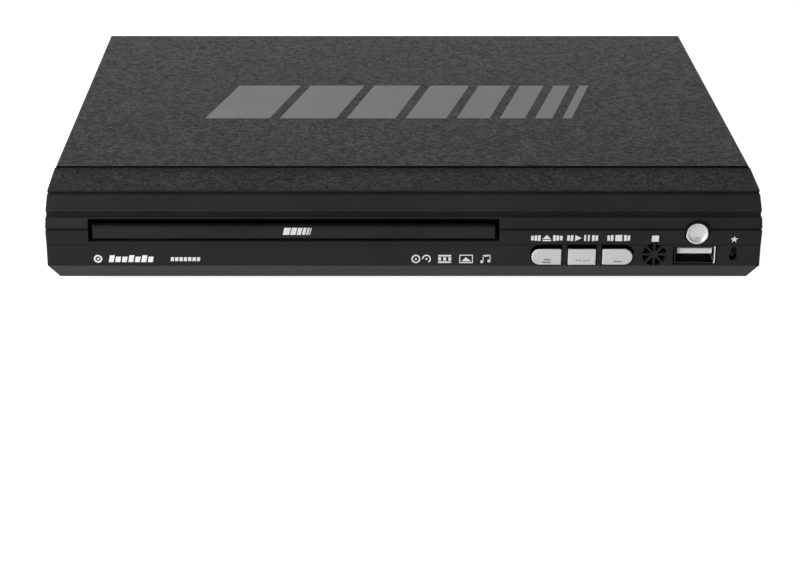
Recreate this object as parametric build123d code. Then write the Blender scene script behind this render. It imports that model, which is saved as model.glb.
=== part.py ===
from build123d import *
import math
import os

# A small free-standing disc player with a drawer for the disc, three keys, a round power key,
# a USB socket and a remote-control window in its moulded front.
#
# Frame: +X to the right as seen from the front, the front faces -Y, +Z up. The origin lies under
# the middle of the player, on the surface that it stands on. Sizes are in millimetres.

os.makedirs("parts", exist_ok=True)

# Main sizes of the body
body_width = 230.0
cover_depth = 162.1
foot_height = 4.0
foot_radius = 6.5
foot_inset_side = 20.0
foot_inset_rear = 14.0
foot_from_front = 40.9
jack_reach = 8.0

# Front profile, from the joint with the cover forwards (run) and downwards (fall)
deck_run = 18.2
deck_drop = 0.4
deck_fall = 1.8
brow_run = 6.2
brow_fall = 5.05
channel_run = 0.9
channel_fall = 1.75
band_run = 1.8
band_fall = 2.9
face_setback = 0.7
facet_fall = 6.0
lower_fall = 7.1
skirt_run = 2.1
skirt_fall = 4.6
corner_cut = 3.6
channel_depth = 1.3
deck_lip = 0.5
line_groove = 0.6
seam_groove = 0.9
line_depth = 0.7
channel_wall = 1.5
edge_round = 0.5

# Walls and sheets
panel_wall = 2.2
sheet = 0.8
joint_gap = 0.8
cover_bottom_gap = 0.5
cover_inset = 0.2
cover_lip = 6.0
lip_thickness = 1.4
lip_root = 1.0
window_cut_depth = 8.0
boss_pilot_depth = 4.0
tab_depth = 5.0
tab_pilot_depth = 4.5
bend_share = 0.75
rear_flange_height = 6.5
base_flange_height = 8.0

# Clearances
slide_gap = 0.3
shaft_gap = 0.05
screw_gap = 0.1
seat_gap = 0.2

# Disc, tray and door
disc_radius = 60.0
small_disc_radius = 40.0
disc_room = 0.75
tray_travel = 130.0
tray_guided = 31.5
disc_setback = 72.0
tray_floor = 1.1
small_recess = 0.7
large_recess = 1.6
notch_share = 0.16
notch_place = 0.75
tray_hole_room = 3.0
lens_slot_side = 5.0
lens_slot_end = 1.0
rail_height = 2.3
rail_width = 2.6
door_from_left = 15.0
door_width = 129.4
door_overhang = 0.4
door_height = 5.2
door_thickness = 3.2
door_setback = 0.6
door_round = 1.3
window_side = 1.4
window_above = 1.3
window_below = 0.5

# Loader frame
shelf_gap = 3.7
shelf_thickness = 1.5
frame_wall = 2.2
frame_front = 13.0
tray_side_gap = 0.5
frame_tail = 3.0
guide_length = 8.0
guide_end_room = 2.0
guide_reach = 1.9
guide_thickness = 1.3
ledge_thickness = 1.5
ear_size = 9.0
ear_thickness = 1.6

# Gear train
gear_module = 0.8
pressure_angle = 20.0
gear_addendum = 0.64
gear_dedendum = 0.88
backlash = 0.16
rack_gear_teeth = 20
tray_gear_teeth = 32
belt_gear_teeth = 14
gear_width = 2.2
rack_gear_width = 2.0
gear_foot = 0.5
pulley_lift = 1.4
pulley_width = 2.5
pulley_radius = 10.4
motor_pulley_radius = 2.6
pulley_flange = 0.9
belt_room = 0.7
gear_overlap = 0.3
motor_room = 0.4
belt_section = 1.0
gear_pin_radius = 1.5
gear_hub_radius = 5.0
gear_setback = 26.0
rack_web = 3.8
rack_from_door = 5.0
rack_end_room = 2.0
belt_reach = 38.0
motor_setback = 7.0
loading_motor_radius = 9.5
loading_motor_height = 7.1
motor_shaft_radius = 0.75

# Cam slider and traverse
cam_travel = 16.0
spindle_lift = 5.2
spindle_to_pivot = 78.0
spindle_to_front = 22.0
slider_room = 2.8
rotor_room = 0.4
stator_room = 0.2
bridge_ear = 7.0
bridge_post_height = 7.0
bridge_pilot_depth = 6.0
guide_count = 4
bracket_reach = 6.0
beam_room = 4.0
traverse_width = 84.0
traverse_thickness = 1.6
traverse_tail = 5.0
slider_thickness = 2.5
slider_wall = 1.2
cam_pin_radius = 1.1
cam_pin_gap = 0.2
cam_pin_spread = 48.0
cam_pin_rise = 1.6
hook_length = 8.0
hook_thickness = 1.0
hook_spread = 24.0
trunnion_radius = 1.5
trunnion_length = 5.5
grommet_radius = 3.6
grommet_width = 3.0
grommet_gap = 0.7
grommet_cover = 1.3

# Spindle, turntable and clamper
disc_lift = 1.1
pad_thickness = 0.5
turntable_radius = 14.5
turntable_thickness = 1.4
cone_radius = 7.4
cone_height = 1.9
cone_taper = 1.4
rotor_radius = 11.5
rotor_height = 4.4
spindle_radius = 0.9
stator_height = 0.8
clamper_radius = 13.5
clamper_thickness = 1.5
clamper_neck = 8.6
clamper_flange = 11.5
clamper_gap = 0.3
clamper_hole = 9.6
bridge_height = 23.6
bridge_width = 34.0
magnet_radius = 5.5
magnet_height = 2.0
magnet_gap = 0.6

# Optical sled
sled_travel = 34.5
sled_start = 23.5
sled_width = 40.0
sled_length = 23.0
sled_height = 4.8
sled_ear = 7.0
rod_radius = 1.5
rod_spread = 50.0
rod_rise = 2.4
lens_radius = 2.4
lens_block_width = 17.0
lens_block_length = 11.0
lens_setback = 1.2
lens_proud = 0.4
sled_motor_radius = 5.0
sled_motor_length = 11.0
sled_screw_radius = 1.5
sled_screw_x = 34.0
sled_motor_plate = 1.2
sled_motor_room = 0.5
rod_holder = 3.0
rod_holder_width = 6.0
rod_holder_cover = 0.8
rod_side_room = 4.0
screw_side_room = 3.0
screw_holder_drop = 1.5
screw_holder_rise = 3.0
screw_passage_gap = 0.3
pin_post = 5.0
pin_post_depth = 3.0
trunnion_post = 5.0
trunnion_post_height = 4.0
sled_room = 0.5

# Places across the control part, as shares of the way from the body's right side to the door's window
play_end_share = 0.6295
power_key_share = 0.246
usb_share = 0.249
lamp_share = 0.102
grille_share = 0.406

# Keys on the front
key_row_width = 32.6
key_height = 5.3
key_split = 2.2
key_first_width = 9.6
key_last_width = 9.7
key_row_z = 7.55
key_proud = 0.35
key_gap = 0.35
key_shadow = 1.3
key_travel = 0.8
key_flange = 0.7
key_flange_thickness = 1.0
power_key_radius = 3.7
power_key_z = 15.7
power_gap = 0.35
power_key_setback = 0.15
power_flange_radius = 4.6
stem_radius = 1.5
board_setback = 11.0
board_thickness = 1.6
switch_size = 6.0
switch_height = 4.3
plunger_radius = 1.6
plunger_reach = 1.0
plunger_room = 0.1
power_cap_depth = 4.4
board_boss_radius = 2.6
boss_from_key = 2.7
boss_from_row = 18.4
boss_from_side = 6.5
boss_above_key = 0.8
board_before_keys = 3.6
board_side_room = 1.0
board_floor_room = 0.8
board_above_boss = 2.5
base_tab_inset = 7.2
base_tab_from_frame = 5.8
base_tab_width = 7.0
base_tab_height = 6.5
tab_screw_rise = 1.0

# Sockets, lamp and receiver on the front
usb_z = 8.05
usb_width = 13.1
usb_height = 5.7
usb_depth = 13.5
usb_wall = 0.3
usb_window_width = 14.2
usb_window_height = 6.3
usb_setback = 1.3
tongue_width = 11.1
tongue_thickness = 1.8
tongue_room = 0.6
tongue_root = 2.5
lamp_z = 7.6
lamp_radius = 1.1
lamp_hole_radius = 1.35
grille_z = 8.4
grille_hub = 1.1
grille_radius = 3.9
grille_slots = 8
grille_spoke = 0.7
receiver_width = 5.6
receiver_height = 6.6
receiver_depth = 4.0
receiver_dome_radius = 2.24
lamp_setback = 2.4
lamp_collar = 0.4
lamp_collar_height = 1.2

# Boards at the rear right
board_lift = 5.0
board_from_ear = 0.8
board_split = 1.0
main_board_length = 120.0
power_board_width = 22.0
board_from_side = 2.5
power_board_length = 128.0
rear_clearance = 1.1
boss_radius = 3.0
screw_radius = 1.4
screw_head_radius = 2.7
screw_head_height = 1.7
screw_end_gap = 0.6
pilot_radius = 1.45
sheet_screw_grip = 2.0
tab_screw_grip = 3.5
board_screw_grip = 3.0
bridge_screw_grip = 5.0

# Pieces on the boards and the ribbons between them
chip_height = 1.6
chip_places = ((0.45, 0.51, 20.0), (0.30, 0.66, 10.0), (0.72, 0.66, 9.0))
connector_height = 5.0
capacitor_round_share = 0.125
ribbon_thickness = 0.3
front_ribbon_width = 14.0
front_ribbon_offset = 3.5
loader_ribbon_width = 10.0
loader_ribbon_back = 38.0
transformer_back = 52.0
transformer_size = 16.0
transformer_height = 13.0
winding_share = 0.85
sink_back = 30.0
sink_inset = 4.0
sink_height = 14.0
sink_base = 1.5
sink_depth = 6.0
sink_fin = 1.0
sink_fins = 4
fuse_back = 86.0
fuse_radius = 2.6
fuse_length = 16.0
fuse_clip = 0.6
capacitor_places = ((3.0, 70.0, 6.0, 18.0), (-5.0, 18.0, 3.5, 11.0), (4.0, 18.0, 3.5, 11.0))

# Bends of the front ribbon: reach behind the front plug and drop, then reach before the main plug
# and height over the board
ribbon_bends_front = ((7.0, 0.0), (11.0, 1.0), (16.0, 3.5))
ribbon_bends_rear = ((10.0, 6.0), (6.0, 3.5), (3.0, 2.5))
plug_depth = 3.0
plug_half_height = 1.5
plug_margin = 1.0
front_plug_drop = 4.0
main_plug_back = 14.0
side_plug_inset = 5.0
loader_plug_rise = 6.0

# Bends of the loader's ribbon: reach beyond its plug and rise, then the drop at its other end
loader_ribbon_start = ((4.5, 0.0), (6.0, 1.5))
loader_ribbon_arch = 4.0
loader_ribbon_turn = 2.0
loader_ribbon_end = 1.5

# Screw places, tabs and vents of the case
ear_from_front = 38.9
ear_from_end = 14.0
board_hole_inset = 4.0
rear_hole_inset = 26.0
rear_flange_inset = 10.0
rear_flange_from_socket = 13.5
rear_tab_height = 7.0
cover_screw_inset = 27.0
screw_drop = 0.4
rear_screw_inset = 20.0
screw_rise = 0.3
foot_peg_radius = 1.9
vent_count = 8
vent_pitch = 5.0
vent_width = 2.0
vent_length = 15.0

# Rear sockets
phono_spacing = 10.2
phono_count = 3
phono_radius = 4.15
phono_bore = 1.6
phono_liner_radius = 3.3
phono_height = 6.6
phono_body_depth = 12.0
phono_body_gap = 0.1
digital_from_phono = 0.4
digital_width = 15.0
digital_height = 5.6
digital_depth = 11.0
digital_wall = 0.5
digital_back = 1.5
tongue_below = 0.4
tongue_above = 0.6
inlet_width = 20.0
inlet_height = 11.5
inlet_depth = 16.0
inlet_mouth_radius = 3.9
inlet_pin_spread = 8.6
inlet_pin_radius = 1.2
inlet_pin_length = 9.0
inlet_floor = 3.0
cutout_gap = 0.4

# Levels and lines worked out from the sizes above
panel_run = deck_run + brow_run + channel_run + band_run
body_height = (deck_fall + brow_fall + channel_fall + band_fall + facet_fall
               + lower_fall + skirt_fall)
body_depth = panel_run + cover_depth
overall_depth = body_depth + jack_reach
front_y = -overall_depth / 2
joint_y = front_y + panel_run
rear_y = front_y + body_depth
bottom_z = foot_height
floor_z = bottom_z + sheet
top_z = bottom_z + body_height
half_width = body_width / 2
side_inner = half_width - cover_inset - sheet

shelf_z = floor_z + shelf_gap
gear_z = shelf_z + shelf_thickness + gear_foot
pulley_z = gear_z + gear_width + pulley_lift
rail_z = pulley_z + pulley_width + belt_room
tray_under_z = rail_z + rail_height
small_seat_z = tray_under_z + tray_floor
seat_z = small_seat_z + small_recess
rim_z = seat_z + large_recess
disc_z = seat_z + disc_lift
tray_width = door_width - 2 * door_overhang
tray_left = -half_width + door_from_left + door_overhang
tray_right = tray_left + tray_width
tray_centre_x = (tray_left + tray_right) / 2
door_y = front_y + door_setback
tray_y = door_y + door_thickness
tray_end_y = tray_y + tray_travel + tray_guided
disc_y = door_y + disc_setback
frame_left = tray_left - tray_side_gap
frame_right = tray_right + tray_side_gap
frame_y = front_y + frame_front
frame_end_y = tray_end_y + frame_tail
bridge_z = floor_z + bridge_height
main_board_x0 = frame_right + frame_wall + ear_size + board_from_ear
power_board_x1 = half_width - board_from_side
power_board_x0 = power_board_x1 - power_board_width
main_board_x1 = power_board_x0 - board_split
inlet_x = (power_board_x0 + power_board_x1) / 2
phono_first_x = main_board_x1 - (phono_count - 0.5) * phono_spacing
digital_x = phono_first_x - phono_spacing / 2 - digital_from_phono - digital_width / 2


def block(x0, x1, y0, y1, z0, z1):
    """A box between two corners."""
    centre = Pos((x0 + x1) / 2, (y0 + y1) / 2, (z0 + z1) / 2)
    return centre * Box(x1 - x0, y1 - y0, z1 - z0)


def upright(radius, x, y, z0, z1):
    """A cylinder along Z."""
    return Pos(x, y, (z0 + z1) / 2) * Cylinder(radius, z1 - z0)


def along_y(radius, x, z, y0, y1):
    """A cylinder along Y."""
    return Pos(x, (y0 + y1) / 2, z) * Rot(90, 0, 0) * Cylinder(radius, y1 - y0)


def along_x(radius, y, z, x0, x1):
    """A cylinder along X."""
    return Pos((x0 + x1) / 2, y, z) * Rot(0, 90, 0) * Cylinder(radius, x1 - x0)


def side_profile(points, x0, x1):
    """A solid between x0 and x1 with the outline points (y, z)."""
    outline = Plane.YZ * make_face(Polyline(*points, close=True))
    return Pos(x0, 0, 0) * extrude(outline, x1 - x0, dir=(1, 0, 0))


def front_shape(sketch, y0, y1):
    """A solid between y0 and y1 from a flat sketch drawn in x and z."""
    upright_sketch = Pos(0, y1, 0) * Rot(90, 0, 0) * sketch
    return extrude(upright_sketch, y1 - y0, dir=(0, -1, 0))


def save(node, shape):
    """Write one named piece."""
    shape.label = node
    export_step(shape, f"parts/{node}.step")


def solids_of(*shapes):
    """Several separate solids kept in one piece file."""
    found = []
    for shape in shapes:
        found.extend(shape.solids())
    return Compound(children=found)


def outside(run, fall):
    """A point of the panel's outline: run forwards from the joint, fall below the top."""
    return (joint_y - run, top_z - fall)


# Front panel: one moulding, extruded across the width, open at its back
brow_end = deck_run + brow_run
brow_end_fall = deck_fall + brow_fall
channel_end = brow_end + channel_run
channel_end_fall = brow_end_fall + channel_fall
band_end_fall = channel_end_fall + band_fall
facet_end_fall = band_end_fall + facet_fall
face_run = panel_run - face_setback
lower_end_fall = facet_end_fall + lower_fall
groove_fall = deck_fall + deck_lip + line_groove
face_y = joint_y - face_run
panel_inner_y = face_y + panel_wall
window_x0 = tray_centre_x - door_width / 2 - window_side
window_x1 = tray_centre_x + door_width / 2 + window_side
control_span = half_width - window_x1
play_end_x = half_width - play_end_share * control_span
key_row_x = play_end_x + key_split + key_last_width - key_row_width / 2
power_key_x = half_width - power_key_share * control_span
usb_x = half_width - usb_share * control_span
lamp_x = half_width - lamp_share * control_span
grille_x = half_width - grille_share * control_span
key_z = bottom_z + key_row_z
power_z = bottom_z + power_key_z
board_y = front_y + board_setback
usb_centre_z = bottom_z + usb_z
lamp_centre_z = bottom_z + lamp_z
receiver_z = bottom_z + grille_z
tab_screw_z = floor_z + base_tab_height / 2 + tab_screw_rise
board_boss_x = (key_row_x - key_row_width / 2 + boss_from_key, key_row_x + boss_from_row,
                half_width - boss_from_side)
board_boss_z = power_z + boss_above_key
base_tab_x = (-half_width + base_tab_inset, frame_right + frame_wall + base_tab_from_frame,
              half_width - base_tab_inset)
through = 2.0


def panel_outline():
    groove_x = deck_run + brow_run * (deck_lip + line_groove) / brow_fall
    return [
        outside(0, deck_drop),
        outside(deck_run, deck_fall),
        outside(deck_run, deck_fall + deck_lip),
        outside(deck_run - line_depth, deck_fall + deck_lip),
        outside(deck_run - line_depth, groove_fall),
        outside(groove_x, groove_fall),
        outside(brow_end, brow_end_fall),
        outside(brow_end - channel_depth, brow_end_fall),
        outside(brow_end - channel_depth, channel_end_fall),
        outside(channel_end, channel_end_fall),
        outside(panel_run, band_end_fall),
        outside(face_run - line_depth / 2, band_end_fall),
        outside(face_run - line_depth / 2, band_end_fall + seam_groove),
        outside(panel_run, band_end_fall + seam_groove),
        outside(face_run, facet_end_fall),
        outside(face_run, lower_end_fall),
        outside(face_run - skirt_run, body_height),
        outside(0, body_height),
    ]


def panel_hollow():
    inner_run = face_run - panel_wall
    return [
        outside(-through, panel_wall),
        outside(deck_run - panel_wall, deck_fall + panel_wall),
        outside(brow_end - channel_depth - channel_wall, channel_end_fall),
        outside(inner_run - line_depth / 2, band_end_fall + seam_groove),
        outside(inner_run - line_depth / 2, lower_end_fall + key_flange),
        outside(face_run - skirt_run - panel_wall, body_height - panel_wall),
        outside(-through, body_height - panel_wall),
    ]


def key_row(gap, rise):
    """The pill outline of the row of three keys, drawn in x and z."""
    height = key_height + 2 * gap
    pill = RectangleRounded(key_row_width + 2 * gap, height, height / 2 - 0.01)
    low = Pos(key_row_x, key_z) * pill
    if rise == 0:
        return low
    straight = Rectangle(key_row_width + 2 * gap - height, rise + height)
    return low + Pos(0, rise) * low + Pos(key_row_x, key_z + rise / 2) * straight


def key_columns(gap):
    """The x range of each key, widened by gap at its two sides."""
    left = key_row_x - key_row_width / 2
    right = key_row_x + key_row_width / 2
    first = left + key_first_width
    last = right - key_last_width
    return [
        (left - gap, first + gap),
        (first + key_split - gap, last - key_split + gap),
        (last - gap, right + gap),
    ]


def column(x0, x1):
    """A tall rectangle between x0 and x1 across the row of keys."""
    return Pos((x0 + x1) / 2, key_z) * Rectangle(x1 - x0, 4 * key_height)


def grille_slots_shape():
    ring = Circle(grille_radius) - Circle(grille_hub)
    for i in range(grille_slots // 2):
        ring -= Rot(0, 0, 180.0 * i / (grille_slots // 2)) * Rectangle(3 * grille_radius, grille_spoke)
    return Pos(grille_x, receiver_z) * ring


def front_panel():
    shell = side_profile(panel_outline(), -half_width, half_width)
    shell -= side_profile(panel_hollow(), -half_width + panel_wall, half_width - panel_wall)
    for side in (-1, 1):
        corner = [(side * half_width, bottom_z), (side * half_width, bottom_z + skirt_fall),
                  (side * (half_width - corner_cut), bottom_z)]
        wedge = make_face(Polyline(*corner, close=True))
        shell -= front_shape(wedge, front_y - through, joint_y + through)
        guard = [(side * (half_width - panel_wall), bottom_z + panel_wall),
                 (side * (half_width - panel_wall), bottom_z + panel_wall + skirt_fall),
                 (side * (half_width - panel_wall - corner_cut), bottom_z + panel_wall)]
        shell += front_shape(make_face(Polyline(*guard, close=True)), panel_inner_y, joint_y)
    lip_top = top_z - sheet - screw_gap
    lip_half = side_inner - screw_gap
    shell += block(-lip_half, lip_half, joint_y - lip_root, joint_y + cover_lip,
                   top_z - panel_wall, lip_top)
    for side in (-1, 1):
        x0, x1 = sorted((side * lip_half, side * (lip_half - lip_thickness)))
        shell += block(x0, x1, joint_y - lip_root, joint_y + cover_lip - seat_gap,
                       floor_z + seat_gap, lip_top)
    for x in board_boss_x:
        shell += along_y(board_boss_radius, x, board_boss_z, panel_inner_y - 1, board_y)
        shell -= along_y(pilot_radius, x, board_boss_z, board_y - boss_pilot_depth, board_y + 1)
    for x in base_tab_x:
        shell += block(x - base_tab_width / 2, x + base_tab_width / 2, joint_y - tab_depth, joint_y,
                       bottom_z + 1, floor_z + base_tab_height)
        shell -= along_y(pilot_radius, x, tab_screw_z, joint_y - tab_pilot_depth, joint_y + 1)
    front_cut = front_y - through
    back_cut = front_y + window_cut_depth
    shell -= block(window_x0, window_x1, front_cut, back_cut, rail_z - window_below, rim_z + window_above)
    windows = key_row(key_gap, key_shadow)
    for x0, x1 in key_columns(key_gap):
        shell -= front_shape(windows & column(x0, x1), front_cut, back_cut)
    shell -= along_y(power_key_radius + power_gap, power_key_x, power_z, front_cut, back_cut)
    shell -= along_y(power_flange_radius + key_flange, power_key_x, power_z, front_y + power_cap_depth,
                     board_y + 1)
    shell -= block(usb_x - usb_window_width / 2, usb_x + usb_window_width / 2, front_cut, back_cut,
                   usb_centre_z - usb_window_height / 2, usb_centre_z + usb_window_height / 2)
    shell -= along_y(lamp_hole_radius, lamp_x, lamp_centre_z, front_cut, back_cut)
    shell -= front_shape(grille_slots_shape(), front_cut, back_cut)
    return shell


save("front_panel", front_panel())


# Keys: a cap in the panel's window, a flange behind the wall and a stem to the switch
plunger_y = board_y - switch_height - plunger_reach


def row_key(x0, x1):
    cap_y = face_y - key_proud
    flange_y = panel_inner_y + line_depth / 2 + slide_gap
    cap = front_shape(key_row(0, 0) & column(x0, x1), cap_y, flange_y + key_flange_thickness / 2)
    flange = block(x0 - key_flange, x1 + key_flange, flange_y, flange_y + key_flange_thickness,
                   key_z - key_height / 2 - key_flange, key_z + key_height / 2 + key_shadow)
    stem = along_y(stem_radius, (x0 + x1) / 2, key_z, flange_y, plunger_y)
    return cap + flange + stem


def power_key():
    flange_y = front_y + power_cap_depth + slide_gap
    cap_y = front_y + power_key_setback
    cap = along_y(power_key_radius, power_key_x, power_z, cap_y, flange_y + 0.5)
    rim = cap.edges().filter_by(GeomType.CIRCLE).sort_by(Axis.Y)[0]
    cap = fillet(rim, edge_round)
    flange = along_y(power_flange_radius, power_key_x, power_z, flange_y, plunger_y)
    return cap + flange


def switch_plunger(x, z):
    return along_y(plunger_radius, x, z, plunger_y, board_y - switch_height + 1)


def tact_switch(x, z):
    half = switch_size / 2
    body = block(x - half, x + half, board_y - switch_height, board_y, z - half, z + half)
    room = key_travel + 1 + plunger_room
    return body - along_y(plunger_radius + shaft_gap, x, z, board_y - switch_height - 1,
                          board_y - switch_height + room)


key_names = ("open", "play", "stop")
switch_places = []
for name, (x0, x1) in zip(key_names, key_columns(0)):
    save(f"{name}_button", row_key(x0, x1))
    save(f"{name}_plunger", switch_plunger((x0 + x1) / 2, key_z))
    switch_places.append(((x0 + x1) / 2, key_z))
save("power_button", power_key())
save("power_plunger", switch_plunger(power_key_x, power_z))
switch_places.append((power_key_x, power_z))
save("tact_switches", solids_of(*[tact_switch(x, z) for x, z in switch_places]))


# Sheet-metal case: base, rear panel and cover
base_half = side_inner - screw_gap
base_rear_y = rear_y - sheet
rear_panel_y = rear_y - 2 * sheet
board_z = floor_z + board_lift
board_top = board_z + board_thickness
boards_end_y = rear_panel_y - rear_clearance
main_board_y = boards_end_y - main_board_length
power_board_y = boards_end_y - power_board_length
ear_x = (frame_left - frame_wall - ear_size / 2, frame_right + frame_wall + ear_size / 2)
ear_y = (front_y + ear_from_front, frame_end_y - ear_from_end)
cover_screw_z = top_z - rear_flange_height / 2 - screw_drop
rear_screw_z = floor_z + rear_tab_height / 2 + screw_rise
foot_x = half_width - foot_inset_side
foot_y = (front_y + foot_from_front, rear_y - foot_inset_rear)
phono_z = board_top + phono_height
digital_z = board_top + digital_height / 2
inlet_z = board_top + inlet_height / 2


def board_holes(x0, x1, y0):
    """Centres of the three fixing holes of a board: two in front, one at the rear left."""
    left = x0 + board_hole_inset
    front = y0 + board_hole_inset
    return [(left, front), (x1 - board_hole_inset, front), (left, boards_end_y - rear_hole_inset)]


main_holes = board_holes(main_board_x0, main_board_x1, main_board_y)
power_holes = board_holes(power_board_x0, power_board_x1, power_board_y)
ears = [(x, y) for x in ear_x for y in ear_y]
feet = [(side * foot_x, y) for side in (-1, 1) for y in foot_y]
rear_flange_x = (-half_width + rear_flange_inset, digital_x - digital_width / 2 - rear_flange_from_socket)
rear_screw_x = (rear_flange_x[0] + rear_screw_inset, rear_flange_x[1] - rear_screw_inset)
cover_screw_x = (-half_width + cover_screw_inset, 0, half_width - cover_screw_inset)


def chassis_base():
    shape = block(-base_half, base_half, joint_y, base_rear_y, bottom_z, floor_z)
    for side in (-1, 1):
        inner = side * (base_half - sheet)
        outer = side * base_half
        shape += block(min(inner, outer), max(inner, outer), joint_y + cover_lip, rear_panel_y - sheet,
                       bottom_z, floor_z + base_flange_height)
    shape += block(rear_flange_x[0], rear_flange_x[1], rear_panel_y - sheet, rear_panel_y,
                   bottom_z, floor_z + rear_tab_height)
    for x in base_tab_x:
        shape += block(x - base_tab_width / 2, x + base_tab_width / 2, joint_y, joint_y + sheet,
                       bottom_z, floor_z + base_tab_height)
        shape -= along_y(pilot_radius, x, tab_screw_z, joint_y - 1, joint_y + sheet + 1)
    for x, y in ears:
        shape += upright(boss_radius, x, y, floor_z - sheet / 2, shelf_z)
        shape -= upright(pilot_radius, x, y, floor_z, shelf_z + 1)
    for x, y in main_holes + power_holes:
        shape += upright(boss_radius, x, y, floor_z - sheet / 2, board_z)
        shape -= upright(pilot_radius, x, y, floor_z, board_z + 1)
    for x, y in feet:
        shape -= upright(foot_peg_radius + shaft_gap, x, y, bottom_z - 1, floor_z + 1)
    for x in rear_screw_x:
        shape -= along_y(pilot_radius, x, rear_screw_z, rear_panel_y - sheet - 1, rear_panel_y + 1)
    vent_y = (power_board_y + boards_end_y) / 2
    for i in range(vent_count):
        y = vent_y + (i - (vent_count - 1) / 2) * vent_pitch
        slot = extrude(Pos(inlet_x, y, bottom_z - 1) * SlotOverall(vent_length, vent_width), sheet + 2)
        shape -= slot
    return shape


def rear_cutouts():
    """Openings of the rear panel, drawn in x and z."""
    digital = Rectangle(digital_width + 2 * cutout_gap, digital_height + 2 * cutout_gap)
    holes = Pos(digital_x, digital_z) * digital
    for i in range(phono_count):
        holes += Pos(phono_first_x + i * phono_spacing, phono_z) * Circle(phono_radius + cutout_gap)
    holes += Pos(inlet_x, inlet_z) * Rectangle(inlet_width + 2 * cutout_gap, inlet_height + 2 * cutout_gap)
    return holes


def rear_panel():
    shape = block(-base_half, base_half, rear_panel_y, base_rear_y, floor_z, top_z - sheet - screw_gap)
    shape -= front_shape(rear_cutouts(), rear_panel_y - 1, base_rear_y + 1)
    for x in cover_screw_x:
        shape -= along_y(pilot_radius, x, cover_screw_z, rear_panel_y - 1, base_rear_y + 1)
    for x in rear_screw_x:
        shape -= along_y(pilot_radius, x, rear_screw_z, rear_panel_y - 1, base_rear_y + 1)
    for i in range(vent_count):
        x = tray_centre_x + (i - (vent_count - 1) / 2) * vent_pitch
        slot = Pos(x, (floor_z + top_z) / 2) * Rot(0, 0, 90) * SlotOverall(vent_length / 2, vent_width)
        shape -= front_shape(slot, rear_panel_y - 1, base_rear_y + 1)
    return shape


def top_cover():
    outer = half_width - cover_inset
    y0 = joint_y + joint_gap
    shape = block(-outer, outer, y0, rear_y, top_z - sheet, top_z)
    for side in (-1, 1):
        x0 = min(side * outer, side * side_inner)
        shape += block(x0, x0 + sheet, y0, rear_y, bottom_z + cover_bottom_gap,
                       top_z - sheet / 2)
    shape += block(-outer, outer, base_rear_y, rear_y, top_z - rear_flange_height, top_z)
    for x in cover_screw_x:
        shape -= along_y(pilot_radius, x, cover_screw_z, base_rear_y - 1, rear_y + 1)
    corners = shape.edges().filter_by(Axis.Y).group_by(Axis.Z)[-1]
    return fillet(corners, sheet * bend_share)


def foot(x, y):
    pad = upright(foot_radius, x, y, 0, foot_height)
    rim = pad.edges().filter_by(GeomType.CIRCLE).sort_by(Axis.Z)[0]
    pad = chamfer(rim, edge_round)
    return pad + upright(foot_peg_radius, x, y, foot_height - 1, floor_z + 1)


def screw_down(x, y, seat, reach):
    """A pan-head screw put in from above."""
    head = upright(screw_head_radius, x, y, seat, seat + screw_head_height)
    top = head.edges().filter_by(GeomType.CIRCLE).sort_by(Axis.Z)[-1]
    return fillet(top, edge_round) + upright(screw_radius, x, y, seat - reach, seat)


def screw_forward(x, z, seat, reach):
    """A pan-head screw put in from the rear."""
    head = along_y(screw_head_radius, x, z, seat, seat + screw_head_height)
    top = head.edges().filter_by(GeomType.CIRCLE).sort_by(Axis.Y)[-1]
    return fillet(top, edge_round) + along_y(screw_radius, x, z, seat - reach, seat)


save("chassis_base", chassis_base())
save("rear_panel", rear_panel())
save("top_cover", top_cover())
save("rubber_feet", solids_of(*[foot(x, y) for x, y in feet]))
cover_screws = [screw_forward(x, cover_screw_z, rear_y, 2 * sheet + sheet_screw_grip) for x in cover_screw_x]
rear_screws = [screw_forward(x, rear_screw_z, base_rear_y, 2 * sheet + sheet_screw_grip) for x in rear_screw_x]
tab_screws = [screw_forward(x, tab_screw_z, joint_y + sheet, sheet + tab_screw_grip) for x in base_tab_x]
loader_reach = ear_thickness + shelf_gap - screw_end_gap
loader_screws = [screw_down(x, y, shelf_z + ear_thickness, loader_reach) for x, y in ears]
board_reach = board_thickness + board_lift - screw_end_gap
board_screws = [screw_down(x, y, board_top, board_reach) for x, y in main_holes + power_holes]
front_reach = board_thickness + board_screw_grip
front_screws = [screw_forward(x, board_boss_z, board_y + board_thickness, front_reach)
                for x in board_boss_x]


# Boards and what they carry
loader_ribbon_y = disc_y + loader_ribbon_back


def board(x0, x1, y0, holes):
    shape = block(x0, x1, y0, boards_end_y, board_z, board_top)
    for x, y in holes:
        shape -= upright(screw_radius + screw_gap, x, y, board_z - 1, board_top + 1)
    return shape


def main_chips():
    chips = []
    width = main_board_x1 - main_board_x0
    for share_x, share_y, size in chip_places:
        x = main_board_x0 + share_x * width
        y = main_board_y + share_y * main_board_length
        half = size / 2
        chips.append(block(x - half, x + half, y - half, y + half, board_top, board_top + chip_height))
    return solids_of(*chips)


def capacitor(x, y, radius, height):
    can = upright(radius, x, y, board_top, board_top + height)
    rim = can.edges().filter_by(GeomType.CIRCLE).sort_by(Axis.Z)[-1]
    return fillet(rim, radius * capacitor_round_share)


power_mid_x = inlet_x
transformer_y = power_board_y + transformer_back
sink_y = power_board_y + sink_back
fuse_y = power_board_y + fuse_back


def transformer():
    half = transformer_size / 2
    core = block(power_mid_x - half, power_mid_x + half, transformer_y - half / 2, transformer_y + half / 2,
                 board_top, board_top + transformer_height)
    winding = upright(half * winding_share, power_mid_x, transformer_y, board_top + 2,
                      board_top + transformer_height - 2)
    return core + winding


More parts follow.
